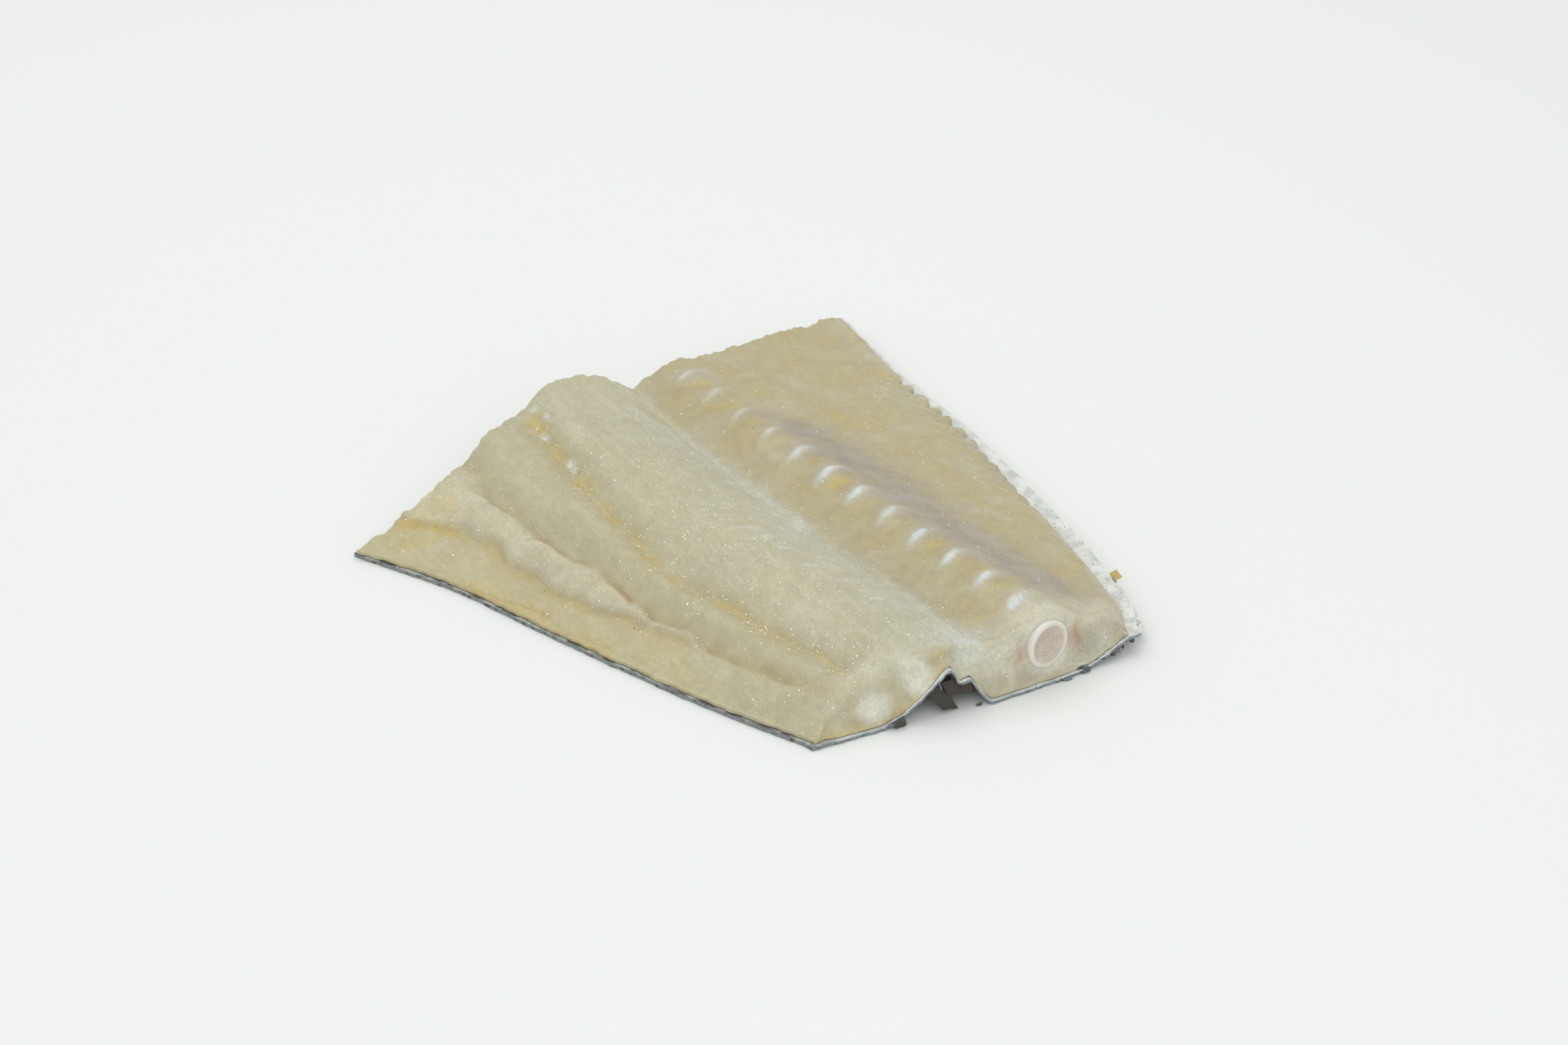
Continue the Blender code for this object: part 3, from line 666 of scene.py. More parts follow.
        inside = smooth_step((1.12 - reach) / 0.2)
        nearer = (reach < ring) & (at_far_cut == (y > 0.0))
        grey = 0.6 if at_far_cut else smooth_step((bundle_x - 8.0) / 6.0)
        clear = np.where(nearer, strength * inside * grey, clear)
        ring = np.where(nearer, reach, ring)
    far = cut * (y > 0.0)
    over_far_skin = z - skin_top(np.ones_like(x), x, plan_rows(np.ones_like(x)))
    pale = pale + far * (0.15 + 0.4 * (1.0 - pale_bundle(x, z, FAR_BUNDLES)) * (0.5 + 0.5 * patch))
    ochre = ochre + far * (0.45 * bell(over_far_skin, 1.5) + 0.2 * patch)
    brown = brown + far * 0.3 * bell(over_far_skin, 0.8)
    blood = (
        blood + far * 0.5 * fleck * (spot(x, z, (26.2, 8.4), 1.6, 2.0) + spot(x, z, (11.6, 8.0), 1.5, 1.8))
    )
    salt = (0.25 + 0.75 * bell(x + 9.0, 17.0) * bell(y + 12.0, 48.0)) * (1.0 - right_side) + 0.10 * right_side
    salt = salt + 1.2 * bell(seam, 1.8) * line_fade(SEAM, y) + 0.5 * spot(x, y, (12.0, -72.0), 9.0, 12.0)
    return {
        "ochre": np.clip(ochre, 0.0, 1.0),
        "brown": np.clip(brown, 0.0, 1.0),
        "milk": np.clip(milk, 0.0, 1.0),
        "pale": np.clip(pale, 0.0, 1.0),
        "olive": np.clip(olive * top * (1.0 - 0.8 * halo), 0.0, 1.0),
        "dusk": np.clip(dusk, 0.0, 1.0),
        "blood": np.clip(blood, 0.0, 1.0),
        "bundle": np.clip(clear * cut, 0.0, 1.0),
        "ring": ring,
        "salt": salt * (1.0 - 0.6 * cut) * (0.25 + 0.75 * smooth_step(0.25 + 1.5 * ripple(x, y, 6.0, 33))),
    }


def pale_bundle(x, z, bundles=BUNDLES):
    """1 in the middle of a muscle bundle of a cut, 0 between the bundles."""
    pale = 0.0 * x
    for bundle_x, bundle_z, half_width, half_height, strength in bundles:
        reach = np.hypot((x - bundle_x) / half_width, (z - bundle_z) / half_height)
        pale = np.maximum(pale, strength * smooth_step((1.15 - reach) / 0.85))
    return pale


def right_gap(x, y):
    """Distance from the right edge."""
    ordered = sorted((py, px) for px, py in RIGHT_EDGE)
    return np.interp(y, *zip(*ordered)) - x


def skin_surface(count, row_count):
    """Upper and lower faces of the skin, and the marks that its colours follow."""
    share = np.linspace(0.0, 1.0, row_count)[:, None]
    rows = rounded_rows(share)
    x = columns(rows, np.zeros_like(share), np.zeros_like(share), count)
    y = row_y(rows, x, share)
    u = np.linspace(0.0, 1.0, count)[None, :]
    x = x + (1.0 - u) ** 14 * (0.35 * ripple(y, y * 0, 5.0, 51) + 0.18 * ripple(y, y * 0, 1.7, 52))
    frill = smooth_step((-20.0 - y) / 40.0)
    x = x + u**14 * (0.35 * ripple(y, y * 0, 8.0, 53) + (0.1 + 0.3 * frill) * ripple(y, y * 0, 2.6, 54))
    near, far = share * PLAN_LENGTH, (1.0 - share) * PLAN_LENGTH
    ragged = 0.3 * ripple(x, x * 0, 3.0, 56) + 0.22 * ripple(x, x * 0, 1.2, 57)
    y = y - (0.5 + ragged) * (1.0 - smooth_step(near / 4.0)) + (0.2 + ragged) * (1.0 - smooth_step(far / 4.0))
    fold = x - rows[1][0]
    in_tunnel = smooth_step((fold + 17.0) / 4.0) * smooth_step((7.0 - fold) / 3.0)
    top = skin_top(share, x, rows) + in_tunnel * (0.3 * ripple(x, y, 4.0, 58) + 0.12 * ripple(x, y, 1.5, 59))
    free = u**10 * smooth_step((near - 1.0) / 5.0)
    top = top + free * (0.3 * ripple(x, y, 7.0, 60) + 0.1 * ripple(x, y, 2.4, 61))
    thickness = 1.12 + 0.12 * ripple(x, y, 5.0, 62)
    thickness = (
        thickness + (0.28 * ripple(x, x * 0, 1.1, 63) + 0.16 * ripple(x, x * 0, 0.6, 64))
        * (1.0 - smooth_step(near / 1.5)) * in_tunnel
    )
    bottom = np.maximum(top - thickness, 0.0)
    bottom = np.where(top - bottom < 0.5, top - 0.5, bottom)
    upper = np.stack([x, y, top], axis=2)
    lower = np.stack([x, y, bottom], axis=2)
    speckle = smooth_step((u - 0.5) / 0.4) * smooth_step((-8.0 - y) / 24.0)
    return upper, lower, {"speckle": speckle, "left_margin": (1.0 - u) ** 14 * np.ones_like(x)}


def turned_surface(profile, sides, near, far, flatten):
    """Places of a body turned about the line from near to far, from (radius, distance along) pairs."""
    near, far = np.array(near), np.array(far)
    axis = (far - near) / np.linalg.norm(far - near)
    side = np.cross(axis, (0.0, 0.0, 1.0))
    side /= np.linalg.norm(side)
    rise = np.cross(side, axis)
    angle = np.linspace(0.0, math.tau, sides + 1)
    radius = np.array([r for r, _ in profile])[:, None]
    place = np.array([d for _, d in profile])[:, None]
    out = near + place[..., None] * axis
    out = (
        out + (radius * np.cos(angle) * flatten)[..., None] * side
        + (radius * np.sin(angle))[..., None] * rise
    )
    return out, radius * np.ones_like(angle)


def plan_shift():
    """From the plan to the frame, in millimetres, fixed by the plan's outline and the frame's box."""
    low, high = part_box("skin")
    return np.array((low.x / MM - LEFT_EDGE[-1][0], high.y / MM - RIGHT_EDGE[-1][1], 0.0))


def shift_to_frame(places):
    """Plan millimetres to the frame's metres."""
    return (places + plan_shift()) * MM


def deselect_all():
    """Leaves nothing selected, in object mode."""
    if bpy.context.object and bpy.context.object.mode != "OBJECT":
        bpy.ops.object.mode_set(mode="OBJECT")
    bpy.ops.object.select_all(action="DESELECT")


def new_grid(name, across, along):
    """A flat grid to shape, and the column and row of each of its points."""
    deselect_all()
    bpy.ops.mesh.primitive_grid_add(x_subdivisions=across - 1, y_subdivisions=along - 1, size=1.0)
    obj = bpy.context.object
    obj.name = obj.data.name = name
    co = read_points(obj)
    column = np.rint((co[:, 0] + 0.5) * (across - 1)).astype(int)
    row = np.rint((co[:, 1] + 0.5) * (along - 1)).astype(int)
    return obj, column, row


def read_points(obj):
    """The object's points as rows of x, y, z."""
    co = np.zeros(len(obj.data.vertices) * 3, np.float32)
    obj.data.vertices.foreach_get("co", co)
    return co.reshape(-1, 3).astype(float)


def write_points(obj, places):
    """Moves the object's points."""
    obj.data.vertices.foreach_set("co", places.astype(np.float32).ravel())
    obj.data.update()


def write_mark(obj, name, values):
    """Keeps one number for each point, for the material to read."""
    mark = obj.data.attributes.new(name, "FLOAT", "POINT")
    mark.data.foreach_set("value", np.asarray(values, np.float32).ravel())


def clean_up(obj, merge=0.00002):
    """Merges doubles and turns the faces outwards."""
    bpy.context.view_layer.objects.active = obj
    bpy.ops.object.mode_set(mode="EDIT")
    bpy.ops.mesh.select_all(action="SELECT")
    bpy.ops.mesh.remove_doubles(threshold=merge)
    bpy.ops.mesh.normals_make_consistent(inside=False)
    bpy.ops.object.mode_set(mode="OBJECT")


def two_sided(name, upper, lower, marks, keep=1.0):
    """A closed piece between two faces of the same rows and columns."""
    along, across = upper.shape[:2]
    obj, column, row = new_grid(name, across, along)
    cell = obj.data.attributes.new("cell", "INT", "POINT")
    cell.data.foreach_set("value", (row * across + column).astype(np.int32))
    bpy.ops.object.mode_set(mode="EDIT")
    bpy.ops.mesh.select_all(action="SELECT")
    bpy.ops.mesh.extrude_region_move(TRANSFORM_OT_translate={"value": (0.0, 0.0, -1.0)})
    bpy.ops.object.mode_set(mode="OBJECT")
    below = read_points(obj)[:, 2] < -0.5
    index = np.zeros(len(obj.data.vertices), np.int32)
    obj.data.attributes["cell"].data.foreach_get("value", index)
    obj.data.attributes.remove(obj.data.attributes["cell"])
    flat_upper, flat_lower = upper.reshape(-1, 3)[index], lower.reshape(-1, 3)[index]
    write_points(obj, shift_to_frame(np.where(below[:, None], flat_lower, flat_upper)))
    for key, values in marks.items():
        write_mark(obj, key, values.reshape(-1)[index])
    write_mark(obj, "under", below)
    if keep < 1.0:
        thin_out(obj, below, index, along, across, keep)
    clean_up(obj, 0.000002)
    finish_shading(obj)
    return obj


def thin_out(obj, below, index, along, across, keep):
    """Leaves fewer faces on the hidden lower face and all of them on the rest."""
    row, column = index // across, index % across
    inner = below & (row > 1) & (row < along - 2) & (column > 1) & (column < across - 2)
    group = obj.vertex_groups.new(name="lower_face")
    group.add(np.nonzero(inner)[0].tolist(), 1.0, "REPLACE")
    thin = obj.modifiers.new("thin_out", "DECIMATE")
    thin.ratio = keep
    thin.vertex_group = group.name
    thin.vertex_group_factor = 1.0
    bpy.ops.object.modifier_apply(modifier=thin.name)


def finish_shading(obj, angle=55.0):
    """Smooth shading with crisp edges where the faces turn sharply."""
    deselect_all()
    obj.select_set(True)
    bpy.context.view_layer.objects.active = obj
    bpy.ops.object.shade_smooth_by_angle(angle=math.radians(angle))
    obj.select_set(False)


def settle(obj, material, slot, *nodes):
    """Gives a finished piece its material and its place in the frame."""
    obj.data.materials.clear()
    obj.data.materials.append(material)
    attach(obj, "root")
    if nodes:
        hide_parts(*nodes)


class Finish:
    """A material and short ways to add nodes to it."""

    def __init__(self, name):
        self.material = bpy.data.materials.new(name)
        self.material.use_nodes = True
        self.tree = self.material.node_tree
        self.shader = self.tree.nodes["Principled BSDF"]
        self.places = self.add("ShaderNodeTexCoord").outputs["Object"]

    def add(self, kind, **values):
        node = self.tree.nodes.new(kind)
        for key, value in values.items():
            setattr(node, key, value)
        return node

    def plug(self, socket, value):
        """Links an output to the socket, or sets the socket to a plain value."""
        if isinstance(value, bpy.types.NodeSocket):
            self.tree.links.new(value, socket)
        else:
            socket.default_value = value

    def mark(self, name):
        return self.add("ShaderNodeAttribute", attribute_name=name).outputs["Fac"]

    def math(self, operation, first, second=0.0, clamp=False):
        node = self.add("ShaderNodeMath", operation=operation, use_clamp=clamp)
        self.plug(node.inputs[0], first)
        self.plug(node.inputs[1], second)
        return node.outputs[0]

    def span(self, value, low, high, out_low=0.0, out_high=1.0):
        """Maps low..high to out_low..out_high and holds both ends."""
        node = self.add("ShaderNodeMapRange", interpolation_type="SMOOTHSTEP")
        for socket, number in zip(node.inputs[:5], (value, low, high, out_low, out_high)):
            self.plug(socket, number)
        return node.outputs[0]

    def mix(self, share, first, second, blend="MIX"):
        node = self.add("ShaderNodeMix", data_type="RGBA", blend_type=blend)
        self.plug(node.inputs["Factor"], share)
        self.plug(node.inputs[6], first)
        self.plug(node.inputs[7], second)
        return node.outputs[2]

    def spread(self, size, stretch, turn):
        """The object's places, scaled so that 1 is size (in mm), and turned about the upright axis."""
        place = self.add("ShaderNodeMapping")
        place.inputs["Scale"].default_value = [1.0 / (size * MM * part) for part in stretch]
        place.inputs["Rotation"].default_value = (0.0, 0.0, math.radians(turn))
        self.plug(place.inputs["Vector"], self.places)
        return place.outputs[0]

    def noise(self, size, detail=2.0, stretch=(1.0, 1.0, 1.0), turn=0.0):
        """Soft lumps about size across (in mm), longer along the axes with a stretch over 1."""
        place = self.spread(size, stretch, turn)
        lumps = self.add("ShaderNodeTexNoise")
        lumps.inputs["Scale"].default_value = 1.0
        lumps.inputs["Detail"].default_value = detail
        self.plug(lumps.inputs["Vector"], place)
        return lumps.outputs["Fac"]

    def cells(self, size, stretch=(1.0, 1.0, 1.0)):
        """Distance to the middle of cells about size across (in mm)."""
        place = self.spread(size, stretch, 0.0)
        cell = self.add("ShaderNodeTexVoronoi")
        cell.inputs["Scale"].default_value = 1.0
        self.plug(cell.inputs["Vector"], place)
        return cell.outputs["Distance"]

    def times(self, first, second):
        return self.math("MULTIPLY", first, second)

    def plus(self, first, second):
        return self.math("ADD", first, second)

    def bump(self, *layers):
        """Adds bumps, each a height, how deep it is in millimetres and how strong it is."""
        normal = None
        for height, depth, strength in layers:
            node = self.add("ShaderNodeBump")
            node.inputs["Distance"].default_value = depth * MM
            node.inputs["Strength"].default_value = strength
            self.plug(node.inputs["Height"], height)
            if normal:
                self.plug(node.inputs["Normal"], normal)
            normal = node.outputs[0]
        self.plug(self.shader.inputs["Normal"], normal)

    def set(self, **values):
        """Sets or links the shader's sockets, named with _ for a space."""
        for key, value in values.items():
            self.plug(self.shader.inputs[key.replace("_", " ")], value)


def rgba(colour):
    """A colour property as a plain four-part colour."""
    return (colour[0], colour[1], colour[2], 1.0)


def flesh_finish(tints):
    """Moist, slightly see-through flesh with its stains, films and fibres, and the painted shade and
    highlights that its tints also carry.
    """
    finish = Finish("moist_flesh")
    broad = finish.noise(22.0, 2.0)
    medium = finish.noise(5.0, 3.0)
    grain = finish.noise(1.1, 2.0)
    fine = finish.noise(0.45, 2.0)
    fibre = finish.noise(0.7, 3.0, (1.0, 5.0, 1.0), 6.0)
    wide_fibre = finish.noise(2.4, 3.0, (1.0, 6.0, 1.0), 4.0)
    break_up = finish.plus(finish.times(medium, 0.8), finish.times(grain, 0.5))
    break_up = finish.span(break_up, 0.35, 0.95, 0.55, 1.35)
    colour = finish.mix(finish.span(broad, 0.35, 0.65), rgba(tints.flesh), rgba(tints.flesh_green))
    colour = finish.mix(finish.span(wide_fibre, 0.4, 0.75, 0.0, 0.35), colour, rgba(tints.flesh_pale))
    bundle = finish.mark("bundle")
    ring = finish.math(
        "SINE", finish.times(finish.plus(finish.mark("ring"), finish.times(medium, 0.25)), 30.0),
    )
    bundle_tint = finish.mix(
        finish.span(ring, -0.6, 1.0, 0.0, 0.5), rgba(tints.bundle), rgba(tints.flesh_pale),
    )
    colour = finish.mix(finish.times(bundle, 0.75), colour, bundle_tint)
    for mark, tint, most in (
        ("olive", tints.olive, 0.85), ("dusk", tints.dusk, 0.85), ("brown", tints.brown, 0.9),
        ("ochre", tints.ochre, 0.85), ("milk", tints.milk, 0.9), ("pale", tints.pale, 0.9),
        ("blood", tints.blood, 0.9),
    ):
        share = finish.math("MULTIPLY", finish.mark(mark), break_up, clamp=True)
        colour = finish.mix(finish.times(share, most), colour, rgba(tint))
    mottle = finish.plus(finish.times(grain, 0.55), finish.times(fine, 0.45))
    shade = finish.span(mottle, 0.32, 0.68, 0.945, 1.055)
    shade = finish.times(shade, finish.span(finish.noise(3.2, 3.0), 0.35, 0.65, 0.965, 1.03))
    shade = finish.times(shade, finish.span(fibre, 0.3, 0.7, 0.98, 1.02))
    tone = finish.add("ShaderNodeCombineColor")
    for socket in tone.inputs[:3]:
        finish.plug(socket, shade)
    colour = finish.mix(1.0, colour, tone.outputs[0], "MULTIPLY")
    wet = finish.span(finish.noise(7.0, 3.0), 0.3, 0.7, 0.34, 0.54)
    finish.set(Base_Color=colour, Roughness=wet, Subsurface_Weight=0.2, Subsurface_Scale=0.0022)
    finish.set(Subsurface_Radius=(1.0, 0.75, 0.5), IOR=1.4, Specular_IOR_Level=0.42)
    finish.bump((medium, 0.35, 0.35), (grain, 0.1, 0.35), (fibre, 0.08, 0.4), (fine, 0.03, 0.3))
    return finish.material


def skin_finish(tints):
    """White inner face, blue-grey cut edge and dark scaly outer face."""
    finish = Finish("fish_skin")
    medium, grain, fine = finish.noise(4.0, 3.0), finish.noise(0.9, 3.0), finish.noise(0.3, 2.0)
    depth = finish.mark("under")
    inner = finish.mix(finish.span(medium, 0.35, 0.7), rgba(tints.skin_inner), rgba(tints.skin_inner_shade))
    dots = finish.times(finish.span(finish.cells(0.85), 0.12, 0.3, 1.0, 0.0), finish.span(grain, 0.42, 0.6))
    dots = finish.times(dots, finish.mark("speckle"))
    inner = finish.mix(dots, inner, rgba(tints.skin_outer))
    ragged = finish.plus(depth, finish.times(finish.math("SUBTRACT", grain, 0.5), 0.7))
    edge = finish.mix(finish.span(ragged, 0.05, 0.5), inner, rgba(tints.skin_edge))
    # Darker towards the left margin
    dark_left_margin = finish.times(finish.mark("left_margin"), finish.span(medium, 0.35, 0.6, 0.35, 0.85))
    edge = finish.mix(dark_left_margin, edge, rgba(tints.skin_outer))
    margin = finish.times(finish.mark("left_margin"), 0.5)
    lower = finish.plus(depth, finish.times(finish.math("GREATER_THAN", depth, 0.02), margin))
    scales = finish.cells(1.5, (1.0, 1.3, 1.0))
    outer = finish.mix(finish.span(scales, 0.1, 0.55), rgba(tints.skin_outer), rgba(tints.skin_scale))
    outer = finish.mix(finish.span(medium, 0.4, 0.65, 0.0, 0.6), outer, rgba(tints.skin_edge))
    colour = finish.mix(finish.span(lower, 0.45, 0.8), edge, outer)
    finish.set(Base_Color=colour, Roughness=finish.span(grain, 0.3, 0.7, 0.36, 0.6), IOR=1.42)
    finish.set(Subsurface_Weight=0.08, Subsurface_Scale=0.001)
    finish.bump((scales, 0.25, 0.5), (medium, 0.3, 0.3), (grain, 0.15, 0.5), (fine, 0.05, 0.4))
    return finish.material


def bone_finish(tints):
    """White rim of bone round a pinkish, glassy disc with fine rings."""
    finish = Finish("vertebra")
    radius = finish.mark("radius")
    medium, grain = finish.noise(2.2, 3.0), finish.noise(0.5, 2.0)
    ring = finish.math("SINE", finish.times(finish.plus(radius, finish.times(medium, 0.12)), 60.0))
    disc = finish.mix(finish.span(medium, 0.35, 0.65), rgba(tints.disc), rgba(tints.disc_shade))
    disc = finish.mix(finish.span(ring, -0.8, 1.0, 0.0, 0.28), disc, rgba(tints.bone))
    rim = finish.span(finish.plus(radius, finish.times(grain, 0.09)), 0.72, 0.98)
    colour = finish.mix(rim, disc, rgba(tints.bone))
    finish.set(Base_Color=colour, Roughness=finish.span(grain, 0.3, 0.7, 0.18, 0.34), IOR=1.42)
    finish.set(Subsurface_Weight=0.2, Subsurface_Scale=0.002, Subsurface_Radius=(1.0, 0.7, 0.6))
    finish.bump((medium, 0.2, 0.3), (grain, 0.08, 0.4))
    return finish.material


def fin_finish(tints):
    """Dark grey fin rays in a thin wet web."""
    finish = Finish("fin_web")
    streak = finish.noise(0.5, 3.0, (1.0, 1.0, 8.0))
    colour = finish.mix(finish.span(streak, 0.35, 0.65), rgba(tints.fin), rgba(tints.skin_edge))
    finish.set(Base_Color=colour, Roughness=finish.span(streak, 0.3, 0.7, 0.35, 0.55), IOR=1.4)
    finish.bump((streak, 0.2, 0.6))
    return finish.material


def salt_finish(tints):
    """White, clear-edged salt."""
    finish = Finish("salt")
    grain = finish.noise(0.4, 2.0)
    colour = finish.mix(finish.span(grain, 0.3, 0.7, 0.0, 0.5), rgba(tints.salt), rgba(tints.milk))
    finish.set(Base_Color=colour, Roughness=finish.span(grain, 0.3, 0.7, 0.12, 0.3), IOR=1.54)
    finish.bump((grain, 0.05, 0.3))
    return finish.material


def speck_finish(tints):
    """Dark dried specks."""
    finish = Finish("dark_speck")
    grain = finish.noise(0.3, 2.0)
    colour = finish.mix(finish.span(grain, 0.3, 0.7), rgba(tints.speck), rgba(tints.brown))
    finish.set(Base_Color=colour, Roughness=finish.span(grain, 0.3, 0.7, 0.4, 0.6))
    finish.bump((grain, 0.05, 0.3))
    return finish.material


def scrap_finish(name, colour, dark):
    """A torn bit of skin: one tint with darker spots."""
    finish = Finish(name)
    medium, grain = finish.noise(2.4, 2.0), finish.noise(0.6, 2.0)
    low, most = (0.35, 0.95) if name == "skin_scraps" else (0.0, 0.2)
    tint = finish.mix(finish.span(medium, 0.35, 0.62, low, most), rgba(colour), rgba(dark))
    finish.set(Base_Color=tint, Roughness=finish.span(grain, 0.3, 0.7, 0.35, 0.6), IOR=1.4)
    finish.bump((medium, 0.2, 0.5), (grain, 0.06, 0.4))
    return finish.material


def floor_finish(colour):
    """Plain pale floor."""
    finish = Finish("pale_floor")
    finish.set(Base_Color=rgba(colour), Roughness=0.9, Specular_IOR_Level=0.1)
    return finish.material


def colour_property(name, description, default):
    """A colour that the panel shows."""
    return FloatVectorProperty(
        name=name, description=description, subtype="COLOR", size=3, min=0.0, max=1.0, default=default,
    )


class CodTints(bpy.types.PropertyGroup):
    """Colours of the cut."""

    flesh: colour_property("Flesh", "Main colour of the flesh", (0.455, 0.43, 0.275))
    flesh_green: colour_property("Greenish flesh", "Cooler patches of the flesh", (0.435, 0.415, 0.28))
    flesh_pale: colour_property("Pale flesh", "Pale streaks along the fibres", (0.55, 0.53, 0.39))
    # Olive also paints shade in the troughs of the left half. Ochre and brown also paint shade along the
    # seam, under the lobe edge and between the arches. Milk also paints a highlight on each arch.
    olive: colour_property("Olive", "Darker, thinner flesh of the backbone's half", (0.385, 0.345, 0.215))
    ochre: colour_property("Ochre", "Yellow stains", (0.50, 0.385, 0.13))
    brown: colour_property("Brown", "Brown of the creases", (0.34, 0.24, 0.11))
    milk: colour_property("Milk", "Bluish-white films and bone under the surface", (0.61, 0.66, 0.655))
    pale: colour_property("Pale rim", "Warm white of the cut muscle and its rim", (0.66, 0.655, 0.55))
    dusk: colour_property("Dusk", "Purplish grey band beside the backbone", (0.30, 0.272, 0.24))
    blood: colour_property("Blood", "Reddish stain by the backbone", (0.42, 0.15, 0.08))
    bundle: colour_property("Bundle", "Cut muscle bundles", (0.37, 0.345, 0.285))
    skin_inner: colour_property("Inner skin", "Inner face of the skin", (0.72, 0.74, 0.70))
    skin_inner_shade: colour_property(
        "Inner skin shade", "Darker patches of the inner face", (0.52, 0.54, 0.50),
    )
    skin_edge: colour_property("Skin edge", "Cut edge of the skin", (0.23, 0.28, 0.32))
    skin_outer: colour_property("Outer skin", "Dark outer face of the skin", (0.052, 0.044, 0.036))
    skin_scale: colour_property("Scales", "Scales of the outer face", (0.24, 0.25, 0.24))
    bone: colour_property("Bone", "Rim of the vertebra", (0.72, 0.69, 0.63))
    disc: colour_property("Disc", "Glassy middle of the vertebra", (0.58, 0.495, 0.396))
    disc_shade: colour_property("Disc shade", "Darker part of the middle", (0.50, 0.425, 0.365))
    fin: colour_property("Fin", "Fin rays and web", (0.06, 0.06, 0.055))
    salt: colour_property("Salt", "Salt grains", (0.92, 0.93, 0.90))
    speck: colour_property("Specks", "Dark specks", (0.03, 0.025, 0.02))
    floor: colour_property("Floor", "Plain floor", (0.787, 0.812, 0.79))


class CodSizes(bpy.types.PropertyGroup):
    """Sizes and counts of the cut's finer detail."""

    flesh_columns: IntProperty(
        name="Flesh columns", description="Columns of points across the flesh", default=236, min=40,
    )
    flesh_rows: IntProperty(
        name="Flesh rows", description="Rows of points along the flesh", default=206, min=40,
    )
    flesh_keep: FloatProperty(
        name="Faces kept", description="Share of the faces kept under the flesh", default=0.62, min=0.3,
        max=1.0,
    )
    skin_columns: IntProperty(
        name="Skin columns", description="Columns of points across the skin", default=200, min=40,
    )
    skin_rows: IntProperty(name="Skin rows", description="Rows of points along the skin", default=180, min=40)
    salt_grains: IntProperty(name="Salt grains", description="Number of salt grains", default=3000, min=0)
    salt_size: FloatProperty(
        name="Salt size", description="Length of the largest grains", default=0.00062, unit="LENGTH",
    )
    camera_distance: FloatProperty(
        name="Camera distance", description="From the cut to the camera", default=0.85, unit="LENGTH",
    )
    camera_lens: FloatProperty(name="Lens", description="Focal length in millimetres", default=76.5)


def sizes():
    return bpy.context.scene.cod_sizes


def tints():
    return bpy.context.scene.cod_tints


class COD_OT_flesh(bpy.types.Operator):
    """Makes both halves of flesh as one piece"""

    bl_idname = "cod.flesh"
    bl_label = "Flesh"

    def execute(self, context):
        places, floor, cut = flesh_surface(sizes().flesh_columns, sizes().flesh_rows)
        marks = flesh_marks(places, cut)
        obj = two_sided("flesh_halves", places, floor, marks, keep=sizes().flesh_keep)
        settle(obj, flesh_finish(tints()), "flesh", "flesh")
        return {"FINISHED"}


class COD_OT_skin(bpy.types.Operator):
    """Makes the sheet of skin with the fold under the middle"""

    bl_idname = "cod.skin"
    bl_label = "Skin"

    def execute(self, context):
        upper, lower, marks = skin_surface(sizes().skin_columns, sizes().skin_rows)
        obj = two_sided("skin_sheet", upper, lower, marks)
        settle(obj, skin_finish(tints()), "skin", "skin")
        return {"FINISHED"}


class COD_OT_backbone(bpy.types.Operator):
    """Makes the column of vertebrae with its round cut end"""

    bl_idname = "cod.backbone"
    bl_label = "Backbone"

    def execute(self, context):
        length = math.dist(BACKBONE_NEAR, BACKBONE_FAR)
        cup = (
            (0.0, 1.9), (1.2, 1.75), (2.4, 1.35), (3.5, 0.8), (4.4, 0.3), (4.8, 0.1), (5.1, -0.12),
            (5.6, -0.2), (6.0, -0.05), (6.3, 0.35),
        )
        profile = [*cup]
        for joint in range(int(length // VERTEBRA_PITCH) + 1):
            for share, radius in ((0.1, 6.3), (0.3, 5.6), (0.5, 5.3), (0.7, 5.6), (0.9, 6.3)):
                if (joint + share) * VERTEBRA_PITCH < length - 1.0:
                    profile.append((radius, (joint + share) * VERTEBRA_PITCH))
        profile += [
            (6.3, length - 0.35), (6.0, length + 0.05), (5.1, length + 0.12), (4.4, length - 0.3),
            (2.4, length - 1.35), (0.0, length - 1.9),
        ]
        places, radius = turned_surface(
            profile, VERTEBRA_SIDES, BACKBONE_NEAR, BACKBONE_FAR, BONE_WIDTH_SHARE,
        )
        obj, column, row = new_grid("backbone_column", places.shape[1], places.shape[0])
        write_points(obj, shift_to_frame(places[row, column]))
        write_mark(obj, "radius", radius[row, column] / VERTEBRA_RADIUS)
        clean_up(obj)
        finish_shading(obj)
        settle(obj, bone_finish(tints()), "backbone", "backbone")
        return {"FINISHED"}


